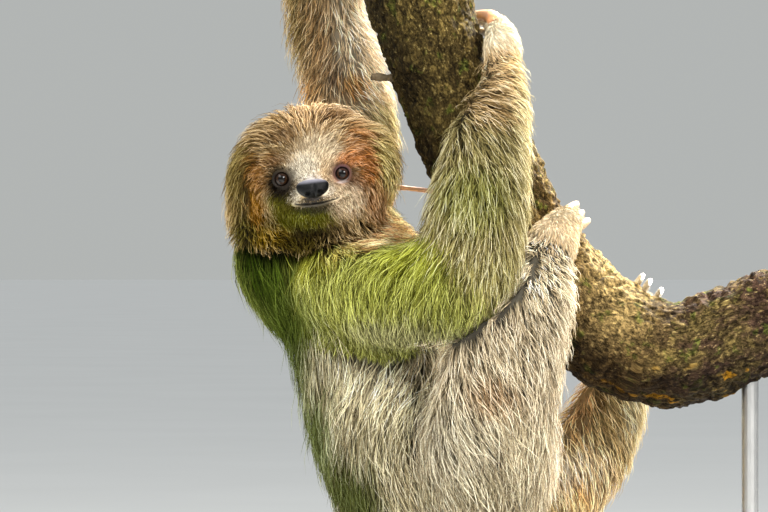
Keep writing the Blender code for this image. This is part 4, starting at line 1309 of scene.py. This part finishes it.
def faces_of(*names, where=None):
    """The ground faces that belong to the named nodes."""
    chosen = np.isin(face_part, [FLESH.index(n) for n in names])
    if where is not None:
        chosen &= where
    return np.flatnonzero(chosen)


# %% The coat of the body and limbs
near_side = face_mid[:, 1] < 0.004


def body_coat(name, seed, zone, faces, under, guards, locks, width, finish=COAT, **lie):
    """A body piece: the dense undercoat, and the longer guard hairs over it."""
    sets = [(UNDERCOAT, under), (GUARD_HAIR, guards)]
    slot = "coat_green" if finish in (COAT_GREEN, COAT_NECK) else "coat"
    growth(name, seed, zone, faces, sets, locks, width, slot, finish, **lie)


body_coat("coat_neck", 11, "core", faces_of("neck"), 5000, 4900, 1500, 0.78, COAT_NECK, strays=0.02)
body_coat("coat_trunk_right", 12, "core", faces_of("trunk", where=near_side), 6500, 6300, 1700, 0.78)
body_coat("coat_trunk_left", 13, "core", faces_of("trunk", "tail", where=~near_side),
          3500, 3250, 1150, 0.95)
body_coat("coat_right_upper_arm", 14, "right_arm", faces_of("right_upper_arm"), 4800, 4900, 1300, 0.78,
          COAT_GREEN, follow=0.05)
body_coat("coat_right_forearm", 15, "right_arm", faces_of("right_forearm"), 5000, 5000, 1300, 0.72,
          follow=0.15)
body_coat("coat_right_thigh", 16, "right_leg", faces_of("right_thigh"), 5300, 5300, 1400, 0.80)
body_coat("coat_right_shank", 17, "right_leg", faces_of("right_shank"), 4700, 4200, 1200, 0.76,
          COAT_SHANK)
body_coat("coat_left_arm", 18, "left_arm", faces_of("left_upper_arm", "left_forearm"),
          4600, 3600, 1300, 0.80, COAT_SOFT, clump=0.35)
body_coat("coat_left_leg", 19, "left_leg", faces_of("left_thigh", "left_shank"),
          3400, 2900, 950, 0.80, COAT_LEG, clump=0.4, wander=0.4, wave=1.1)

# %% The coat of the hands and feet
PAW_HAIR = [(SHORT_HAIR, 2400), (FACE_HAIR, 700)]
PAW_SHARE = {"right": 1.0, "left": 0.5}
for seed, side in ((21, "right"), (22, "left")):
    for limb, zone in (("hand", "arm"), ("foot", "leg")):
        paw = f"{side}_{limb}"
        sets = [(kind, round(count * PAW_SHARE[side])) for kind, count in PAW_HAIR]
        growth("coat_" + paw, seed + 10 * (limb == "foot"), f"{side}_{zone}", faces_of(paw), sets,
               700, 0.50, "coat_pale", COAT_PALE, wave=0.25, strays=0.02, clump=0.4)

# %% The coat of the head and face
head_faces = faces_of("head", where=face_share < 0.62)
growth("coat_head", 31, "head", head_faces, [(UNDERCOAT, 6200), (GUARD_HAIR, 6500)], 1900, 0.78,
       "coat_head", COAT_HEAD, wander=0.42, wave=1.3, strays=0.04, longer=1.08, clump=0.5)
face_faces = faces_of("head", where=face_share >= 0.12)
bare = clear_of_bare(face_mid[face_faces])
growth("coat_face", 32, "head", face_faces, [(SHORT_HAIR, 9500), (FACE_HAIR, 3600)], 2600, 0.42,
       "coat_head", COAT_FACE, density=ramp(bare, -0.3, 0.8),
       wave=0.25, strays=0.02, clump=0.35, wander=0.2, longer=1.0)
print("coat in all:", sum(COAT_TRIANGLES.values()), "triangles")

# %% [markdown]
# The eyes are balls with a slightly bulging cornea in front, so that a lamp makes one clear glint.
# The pupil, the brown iris and its dark rim are rings about the line of sight, read from the object
# coordinates, and a clear coat over them is the wet surface.

# %% Eyes
PUPIL = 2.5 * MM
IRIS = 4.6 * MM
CORNEA_REACH = 38.0  # degrees from the line of sight
CORNEA_RISE = 0.35  # millimetres


def eye_finish(name, centre, iris_inner, iris_outer, white):
    """Rings about the line of sight: pupil, iris, and the ball, which is pale below."""
    finish = Finish(name, Roughness=0.12, Coat_Weight=0.05, Coat_Roughness=0.02, Specular_IOR_Level=0.18)
    start = finish.start
    off = start.vectors("SUBTRACT", finish.place, centre)
    ahead = start.vectors("DOT_PRODUCT", off, HEAD_FORWARD)
    below = start.vectors("DOT_PRODUCT", off, -HEAD_UP)
    length = start.vectors("LENGTH", off)
    ring = start.maths("SQRT", length * length - ahead * ahead)
    fibre = start.spots(finish.place, 0.0009, 4.0)
    iris = (ring + fibre * 0.0006).between(PUPIL, IRIS).mix(rgba(*iris_inner), rgba(*iris_outer))
    ball = below.between(0.001, 0.005).mix(rgba(40, 26, 22), rgba(*white))
    colour = ring.between(IRIS - 0.0004, IRIS + 0.0004).mix(iris, ball)
    colour = ring.between(PUPIL - 0.0002, PUPIL + 0.0003).mix(rgba(8, 6, 6), colour)
    finish.set(Base_Color=colour)
    return finish.material


def add_eye(side, iris_inner, iris_outer, white):
    """A ball that looks along its local upward axis, turned to look out of the head."""
    centre = EYE_CENTRES[side]
    bm = bmesh.new()
    bmesh.ops.create_uvsphere(bm, u_segments=48, v_segments=32, radius=1.0)
    for vert in bm.verts:
        angle = math.degrees(math.acos(max(-1.0, min(1.0, vert.co.z))))
        rise = CORNEA_RISE * (1 + math.cos(math.pi * min(angle / CORNEA_REACH, 1.0))) / 2
        across, over, ahead = vert.co * (EYE_BALL + rise)
        vert.co = from_head([centre + (across, ahead, over)])[0]
    bmesh.ops.recalc_face_normals(bm, faces=bm.faces)
    eye = piece_from(bm, f"eye_{side}")
    place = Vector(from_head([centre])[0])
    eye.data.materials.append(eye_finish(f"eye_{side}", place, iris_inner, iris_outer, white))
    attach(eye, "root")
    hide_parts(f"{side}_eye")


add_eye("right", (46, 26, 10), (16, 10, 6), (34, 26, 22))
add_eye("left", (56, 32, 20), (20, 12, 10), (170, 158, 152))
print("eyes", round(2 * EYE_BALL, 1), "mm across")

# %% [markdown]
# The nose pad is bare leathery skin, wider at the top, with a nostril sunk into each side and a
# shallow groove between them. It starts as a ball whose points are pushed, which keeps it closed.

# %% Nose pad
NOSE_HALF = (11.0, 6.6, 6.4)  # half width, depth and height, millimetres
NOSE_SHIFT = (1.2, -0.4, -1.2)
NOSTRILS = [(-3.5, -3.0), (5.3, -2.6)]  # right and up of the pad's middle


def nose_finish():
    """Leather: black below, greyer on top as a painted highlight, with a fine grain."""
    finish = Finish("nose", Roughness=0.32, Specular_IOR_Level=0.16)
    start = finish.start
    grain = start.cells(finish.place, 0.0007)
    cloud = start.spots(finish.place, 0.003)
    height = finish.attribute("height")
    pit = finish.attribute("pit")
    # Painted highlight: the top of the pad is drawn greyer, where light from above shows on the leather.
    top = height.between(0.40, 1.05)
    colour = (top * (0.7 + 0.5 * cloud)).mix(rgba(3, 3, 4), rgba(150, 148, 160))
    # Painted shade: the nostrils are drawn black inside.
    colour = pit.mix(colour, rgba(6, 5, 5))
    finish.set(Base_Color=colour, Roughness=0.36 + 0.25 * grain)
    finish.bump(grain, 0.00018, 0.8)
    return finish.material


def add_nose():
    """Pushes the points of a ball, in the head's frame."""
    middle = to_head([NOSE])[0] + NOSE_SHIFT
    bm = bmesh.new()
    bmesh.ops.create_icosphere(bm, subdivisions=5, radius=1.0)
    heights, pits = [], []
    for vert in bm.verts:
        x, y, z = vert.co
        squash = 1.0 + 0.22 * z - 0.05 * (1 - abs(x)) * (z < 0)
        right = math.copysign(abs(x) ** 0.86, x) * NOSE_HALF[0] * squash
        up = math.copysign(abs(z) ** 0.88, z) * NOSE_HALF[2]
        forward = y * NOSE_HALF[1] - 0.9 * math.exp(-((right - 0.9) / 0.8) ** 2) * (z < 0.5) * (y > 0)
        pit = 0.0
        for at, height in NOSTRILS:
            side = math.copysign(1.0, at)
            across, over = right - at, up - height
            off = math.hypot(across / 2.0, (over + 0.25 * side * across) / 1.35)
            pit = max(pit, (1 - min(off, 1.0)) ** 0.5 if off < 1.0 else 0.0)
            forward += 0.5 * math.exp(-((off - 1.35) / 0.35) ** 2) * (y > 0)
        forward -= 2.6 * pit * (y > 0)
        heights.append(z)
        pits.append(pit * (y > 0))
        vert.co = from_head([middle + (right, forward, up)])[0]
    bmesh.ops.recalc_face_normals(bm, faces=bm.faces)
    nose = piece_from(bm, "nose_pad")
    give_value(nose.data, "height", np.array(heights))
    give_value(nose.data, "pit", np.array(pits))
    nose.data.materials.append(nose_finish())
    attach(nose, "root")
    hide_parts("nose")


add_nose()
print("nose pad", round(2 * NOSE_HALF[0]), "mm wide")

# %% [markdown]
# The claws are horn: cream, ringed with growth lines, darker below and toward the tip. Each is the
# solid's own shape, rounded by a subdivision, so that it still hooks round the bark where it should.

# %% Claws
CLAW_SWELL = 0.35 * MM
Horn = namedtuple("Horn", "root tip underside swell")  # colours, how brown below, swell of the root (mm)
CLAWS = {
    "right_hand": Horn((238, 222, 192), (216, 192, 152), 0.45, 0.6),
    "right_foot": Horn((170, 142, 106), (216, 192, 152), 0.45, 0.9),
    "left_hand": Horn((226, 204, 170), (216, 192, 152), 0.45, 0.8),
    "left_foot": Horn((246, 240, 228), (250, 244, 232), 0.05, 0.4),
}
FIRST_CLAW = CLAWS["right_hand"]._replace(root=(228, 158, 108), swell=2.6)  # thick, beside the branch
NO_SHIFT = ((0.0, 0.0, 0.0), (0.0, 0.0, 0.0))
CLAW_SHIFTS = {  # millimetres, at the root and at the tip
    "right_hand_claw_1": ((5.0, -8.0, -9.0), (4.0, -4.0, -5.0)),
    "right_hand_claw_2": ((0.0, 0.0, -6.5), (0.0, 0.0, 0.0)),
    "right_hand_claw_3": ((0.0, 0.0, -6.5), (0.0, 0.0, 0.0)),
    "left_foot_claw_1": ((-2.2, 0.0, 3.8), (-2.2, 0.0, 3.8)),
    "left_foot_claw_2": ((-1.0, 0.0, 1.5), (-1.0, 0.0, 1.5)),
    "left_foot_claw_3": ((3.2, 0.0, -3.2), (3.2, 0.0, -3.2)),
}


def claw_finish(name, horn):
    """Horn with growth lines, from the root's colour to the tip's, and browner below."""
    finish = Finish(name, Roughness=0.4, Coat_Weight=0.2)
    start = finish.start
    along = finish.attribute("along")
    under = finish.attribute("under")
    cloud = start.spots(finish.place, 0.003)
    lines = start.maths("SINE", (along + cloud * 0.03) * 150.0)
    colour = (along + cloud * 0.2).between(0.1, 1.1).mix(rgba(*horn.root), rgba(*horn.tip))
    colour = (under * horn.underside).mix(colour, rgba(170, 128, 98))
    finish.set(Base_Color=colour.tinted(0.90 + 0.06 * lines), Roughness=0.34 + 0.2 * cloud)
    finish.bump(lines * 0.5 + cloud, 0.00012, 0.7)
    return finish.material


def add_claws(limb):
    """The three claws of a hand or foot: rounded copies, swollen at the root and shifted a little."""
    paw = sum(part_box(limb), Vector()) / 2
    for number in (1, 2, 3):
        name = f"{limb}_claw_{number}"
        horn = FIRST_CLAW if name == "right_hand_claw_1" else CLAWS[limb]
        claw = piece_from(copied_nodes([name], CLAW_SWELL), f"claw_{limb}_{number}")
        round_off = claw.modifiers.new("round", "SUBSURF")
        round_off.levels = round_off.render_levels = 2
        applied(claw)
        co = read(claw.data.vertices, "co", 3)
        off = np.linalg.norm(co - np.array(paw), axis=1)
        along = (off - off.min()) / (off.max() - off.min())
        give_value(claw.data, "along", along)
        normal = read(claw.data.vertex_normals, "vector", 3)
        swell = horn.swell * (1 - ramp(along, 0.2, 1.0)) * MM
        root_shift, tip_shift = CLAW_SHIFTS.get(name, NO_SHIFT)
        shift = np.outer(1 - along, root_shift) + np.outer(along, tip_shift)
        write_places(claw.data, co + normal * swell[:, None] + shift * MM)
        give_value(claw.data, "under", ramp(-normal[:, 2], 0.1, 0.9))
        claw.data.materials.append(claw_finish("horn_" + name, horn))
        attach(claw, "root")
        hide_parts(name)


for limb in CLAWS:
    add_claws(limb)
print("claws", 3 * len(CLAWS))

# %% [markdown]
# The branch is a living one: rough, lumpy bark with flakes and cracks, moss on its upper length,
# tan lichen in the middle and orange specks toward its right end. Its solid is melted to an even
# mesh and the bark's lumps are real relief, with a pattern of colour drawn out along the wood. The
# two sawn ends stay flat and show their rings.

# %% Branch
BARK_VOXEL = 1.55 * MM
BRANCH_ENDS = [  # middle of each sawn end, and the way it faces
    (Vector((-110.6, 0.0, 643.7)) * MM, Vector((-16.1, -2.0, 59.5)).normalized()),
    (Vector((198.8, 0.0, 255.5)) * MM, Vector((20.3, 0.0, 3.4)).normalized()),
]
KNOBS = [  # swellings of the wood: where, reach and height, millimetres
    ((172, -6, 284), 16, 4.0), ((128, -10, 268), 12, 2.0), ((-42, -34, 390), 14, 2.5),
    ((92, -38, 222), 16, 2.5), ((-86, -36, 560), 16, 2.5), ((20, -36, 300), 13, 2.0),
]
BRANCH_LINE = [  # the wood's middle, x and z in millimetres
    (-110.6, 643.7), (-79.1, 521.2), (-55.0, 444.2), (-24.5, 374.2), (18.9, 295.8),
    (53.9, 255.2), (88.9, 235.2), (123.9, 232.0), (155.4, 245.0), (198.8, 255.5),
]
FLOW = 0.62  # how much the bark's pattern is drawn out along the wood


def flow_at(points):
    """Each point's way along the wood, drawn out, and its place across it: front and upper side."""
    x, y, z = points.T / MM
    nearest = np.full(len(points), np.inf)
    along, side = np.zeros(len(points)), np.zeros(len(points))
    start = 0.0
    for (ax, az), (bx, bz) in zip(BRANCH_LINE, BRANCH_LINE[1:]):
        size = math.hypot(bx - ax, bz - az)
        wx, wz = (bx - ax) / size, (bz - az) / size
        share = np.clip((x - ax) * wx + (z - az) * wz, 0.0, size)
        off = np.hypot(x - ax - share * wx, z - az - share * wz)
        closer = off < nearest
        nearest = np.where(closer, off, nearest)
        along = np.where(closer, start + share, along)
        side = np.where(closer, (z - az) * wx - (x - ax) * wz, side)
        start += size
    return np.c_[along * FLOW, y, side] * MM


def relief(place):
    """Height of the bark's lumps at a point, in millimetres."""
    lump = noise.noise(place / 0.020) * 1.5
    ridge = (0.5 - abs(noise.noise(place / 0.0085))) * 1.8
    grain = noise.noise(place / 0.0036) * 1.1
    scale = 0.9 - 1.8 * min(noise.voronoi(place / 0.0065)[0][0], 0.8)
    flake = max(0.0, noise.noise(place / 0.013 + Vector((9, 3, 1))) - 0.12) * 5.0
    crack = -1.8 * max(0.0, 0.09 - abs(noise.noise(place / 0.016 + Vector((2, 8, 5))))) / 0.09
    return lump + ridge + grain + scale + min(flake, 1.0) + crack - 0.8


def add_branch():
    """Bark: lumps pushed out of the melted solid, fading to nothing at the sawn ends."""
    branch = melted(piece_from(copied_nodes(["branch"]), "bark"), BARK_VOXEL)
    mesh = branch.data
    co = eased(mesh, read(mesh.vertices, "co", 3), 10, 0.5)
    write_places(mesh, co)
    normal = read(mesh.vertex_normals, "vector", 3)
    end = np.full(len(co), 1.0)
    for at, way in BRANCH_ENDS:
        end = np.minimum(end, -((co - np.array(at)) @ np.array(way)))
    bark = ramp(end, 0.5 * MM, 4.0 * MM)
    height = np.array([relief(Vector(p)) for p in co.tolist()])
    for at, reach, rise in KNOBS:
        height += rise * np.exp(-(np.linalg.norm(co / MM - at, axis=1) / reach) ** 2)
    write_places(mesh, co + normal * (height * bark * MM)[:, None])
    give_value(mesh, "bark", bark)
    flow = mesh.attributes.new("flow", "FLOAT_VECTOR", "POINT")
    flow.data.foreach_set("vector", flow_at(co).astype(np.float32).ravel())
    give_value(mesh, "height", height)
    give_value(mesh, "under", ramp(-normal[:, 2], 0.0, 0.8))
    branch.data.materials.append(bark_finish())
    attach(branch, "root")
    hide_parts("branch")
    print("bark:", len(mesh.polygons), "faces")


def bark_finish():
    """Bark by place: plain brown, then tan, scaly and mossy stretches, lichen, and the sawn wood; painted
    light and shade make it lighter on the upper side and darker underneath and in the low relief.
    """
    finish = Finish("bark", Roughness=0.9, Specular_IOR_Level=0.08)
    start = finish.start
    across, over = finish.axis(0), finish.axis(2)
    height = finish.attribute("height")
    bark = finish.attribute("bark")
    under = finish.attribute("under")
    flow = finish.attribute("flow", 1)
    upper = start.node("ShaderNodeSeparateXYZ", {}, {0: flow}, output=2)
    broad = start.spots(finish.place, 0.05, 3.0)
    patch = start.spots(flow, 0.024, 9.0, 0.76)
    grain = start.spots(flow, 0.0022, 5.0, 0.8)
    veins = start.spots(flow, 0.0060, 6.0, 0.7)
    crest = start.maths("ABSOLUTE", veins - 0.5).between(0.0, 0.05)
    colour = patch.between(0.36, 0.64).mix(rgba(66, 50, 30), rgba(116, 92, 54))
    past_tan = (across + patch * 0.10 - over * 0.15).between(0.080, 0.130)
    tan = across.between(0.035, 0.065) * (1.0 - past_tan)
    tan = tan * over.between(0.222, 0.256) * (0.40 + 0.60 * patch.between(0.36, 0.58))
    colour = (tan * 0.9).mix(colour, rgba(166, 141, 90))
    scaly = (across + patch * 0.08).between(0.115, 0.165)
    scales = patch.between(0.42, 0.62).mix(rgba(66, 48, 38), rgba(112, 96, 54))
    colour = (scaly * 0.9).mix(colour, scales)
    moss = (over + patch * 0.10).between(0.34, 0.46)
    mossy = patch.between(0.36, 0.66).mix(rgba(54, 43, 20), rgba(102, 86, 44))
    colour = (moss * 0.9).mix(colour, mossy)
    green = start.spots(finish.place, 0.012, 5.0).between(0.57, 0.66)
    colour = (green * 0.6).mix(colour, rgba(84, 96, 30))
    colour = (grain.between(0.58, 0.70) * 0.55).mix(colour, rgba(206, 186, 122))
    orange = start.spots(flow, 0.012, 3.0).between(0.60, 0.66) * under.between(0.25, 0.7)
    colour = (orange * across.between(0.03, 0.08) * 0.85).mix(colour, rgba(196, 140, 24))
    # Painted light and shade: darker in the low parts of the relief and on the underside, lighter on the
    # upper side of the wood; the grain and cracks are the bark's own.
    shade = 0.10 + 0.36 * height.between(-2.2, 1.4) + 1.15 * grain.between(0.38, 0.62)
    shade = shade * (0.40 + 0.60 * crest)
    shade = shade * (0.55 + 0.66 * upper.between(-0.034, 0.030))
    colour = colour.tinted(shade * 1.12 * (1.0 - 0.5 * under))
    from_ends = [start.vectors("SUBTRACT", finish.place, at) for at, _ in BRANCH_ENDS]
    near = start.maths("MINIMUM", *(start.vectors("LENGTH", off) for off in from_ends))
    rings = start.maths("SINE", (near + broad * 0.004) * 3200.0)
    wood = (0.5 + 0.5 * rings).mix(rgba(196, 164, 112), rgba(222, 196, 148))
    wood = near.between(0.028, 0.034).mix(wood, rgba(120, 84, 52))
    colour = bark.between(0.05, 0.35).mix(wood, colour)
    finish.set(Base_Color=colour, Roughness=0.78 + 0.2 * grain)
    finish.bump(grain + crest * 0.3, 0.0022, 1.0)
    return finish.material


add_branch()

# %% Twigs
def rgb_wire(finish, tint):
    """A wire of one plain colour."""
    inputs = {0: 0.0, 6: rgba(*tint)}
    return finish.start.node("ShaderNodeMix", {"data_type": "RGBA"}, inputs, output=2)


def add_twig(node, tint, seed, swell, rough):
    """A bare twig, melted and roughened."""
    twig = melted(piece_from(copied_nodes([node], swell * MM), node + "_bark"), 0.45 * MM)
    mesh = twig.data
    co = eased(mesh, read(mesh.vertices, "co", 3), 3)
    write_places(mesh, co)
    normal = read(mesh.vertex_normals, "vector", 3)
    lift = blurred_noise(co, 0.005, seed) * rough + blurred_noise(co, 0.0018, seed + 1) * rough / 2
    write_places(mesh, co + normal * (lift * MM)[:, None])
    finish = Finish(node, Roughness=0.8)
    grain = finish.start.spots(finish.place, 0.002, 4.0)
    finish.set(Base_Color=rgb_wire(finish, tint).tinted(0.6 + 0.8 * grain))
    finish.bump(grain, 0.0005, 0.8)
    mesh.materials.append(finish.material)
    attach(twig, "root")
    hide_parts(node)


add_twig("branch_twig_1", (84, 70, 48), 3, 0.9, 1.6)
add_twig("branch_twig_2", (196, 152, 124), 4, 0.1, 0.5)
print("twigs 2")

# %% [markdown]
# The stand is plain museum furniture: a dark satin board with softened edges, and two brushed steel
# rods, one under the body and one under the perch, each rising from a small turned collar.

# %% Stand
BOARD_EASE = 2.5 * MM
COLLAR_PROFILE = [  # out from the rod's axis, and up, millimetres
    (6.05, 0.0), (13.0, 0.0), (13.0, 2.2), (12.0, 3.4), (8.6, 4.2), (7.6, 6.6), (6.05, 7.4),
]


def wood_finish():
    """Dark wood, its grain along the board."""
    finish = Finish("stand_walnut", Roughness=0.4, Coat_Weight=0.35, Coat_Roughness=0.25)
    start = finish.start
    long = start.stretched(finish.place, (1.0, 9.0, 9.0))
    waver = start.spots(long, 0.16, 3.0)
    grain = start.spots(long, 0.030, 6.0, 0.7)
    pores = start.spots(start.stretched(finish.place, (1.0, 22.0, 22.0)), 0.018, 3.0, 0.7)
    colour = (waver * 0.5 + grain * 0.5).between(0.35, 0.65).mix(rgba(52, 33, 22), rgba(92, 60, 38))
    finish.set(Base_Color=colour.tinted(0.8 + 0.4 * pores), Roughness=0.34 + 0.2 * pores)
    finish.bump(pores, 0.0002, 0.5)
    return finish.material


def steel_finish():
    """Steel brushed along the rods."""
    finish = Finish("stand_steel", Metallic=1.0, Roughness=0.3)
    brushed = finish.start.spots(finish.start.stretched(finish.place, (0.06, 0.06, 1.0)), 0.0004, 3.0)
    smudge = finish.start.spots(finish.place, 0.02)
    finish.set(Base_Color=smudge.mix(rgba(150, 150, 152), rgba(182, 182, 182)))
    finish.set(Roughness=0.24 + 0.18 * brushed + 0.08 * smudge)
    finish.bump(brushed, 0.00003, 0.5)
    return finish.material


def add_stand():
    """The board with its rim eased, the two rods' finish, and a turned collar at each rod's foot."""
    bm = copied_nodes(["stand_base"])
    bmesh.ops.dissolve_limit(bm, angle_limit=math.radians(1), verts=bm.verts, edges=bm.edges)
    rim = [e for e in bm.edges if e.calc_face_angle(0.0) > math.radians(60) and abs(
        e.verts[0].co.z - e.verts[1].co.z) < MM]
    bmesh.ops.bevel(bm, geom=rim, offset=BOARD_EASE, segments=4, profile=0.5,
                    affect="EDGES", material=-1)
    board = piece_from(bm, "stand_board", smooth=False)
    board.data.materials.append(wood_finish())
    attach(board, "root")
    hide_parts("stand_base")
    steel = steel_finish()
    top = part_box("stand_base")[1].z
    for name in ("stand_rod_body", "stand_rod_perch"):
        NODES[name].data.materials.clear()
        NODES[name].data.materials.append(steel)
        middle = (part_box(name)[0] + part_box(name)[1]) / 2
        bm = bmesh.new()
        line = [bm.verts.new((middle.x + r * MM, middle.y, top + z * MM)) for r, z in COLLAR_PROFILE]
        line = [bm.edges.new(pair) for pair in zip(line, line[1:] + line[:1])]
        bmesh.ops.spin(bm, geom=bm.verts[:] + line, cent=(middle.x, middle.y, 0), axis=(0, 0, 1),
                       angle=math.tau, steps=48, use_merge=True)
        bmesh.ops.recalc_face_normals(bm, faces=bm.faces)
        collar = piece_from(bm, name.replace("rod", "collar"), smooth=False)
        collar.data.materials.append(steel)
        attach(collar, "root")


add_stand()
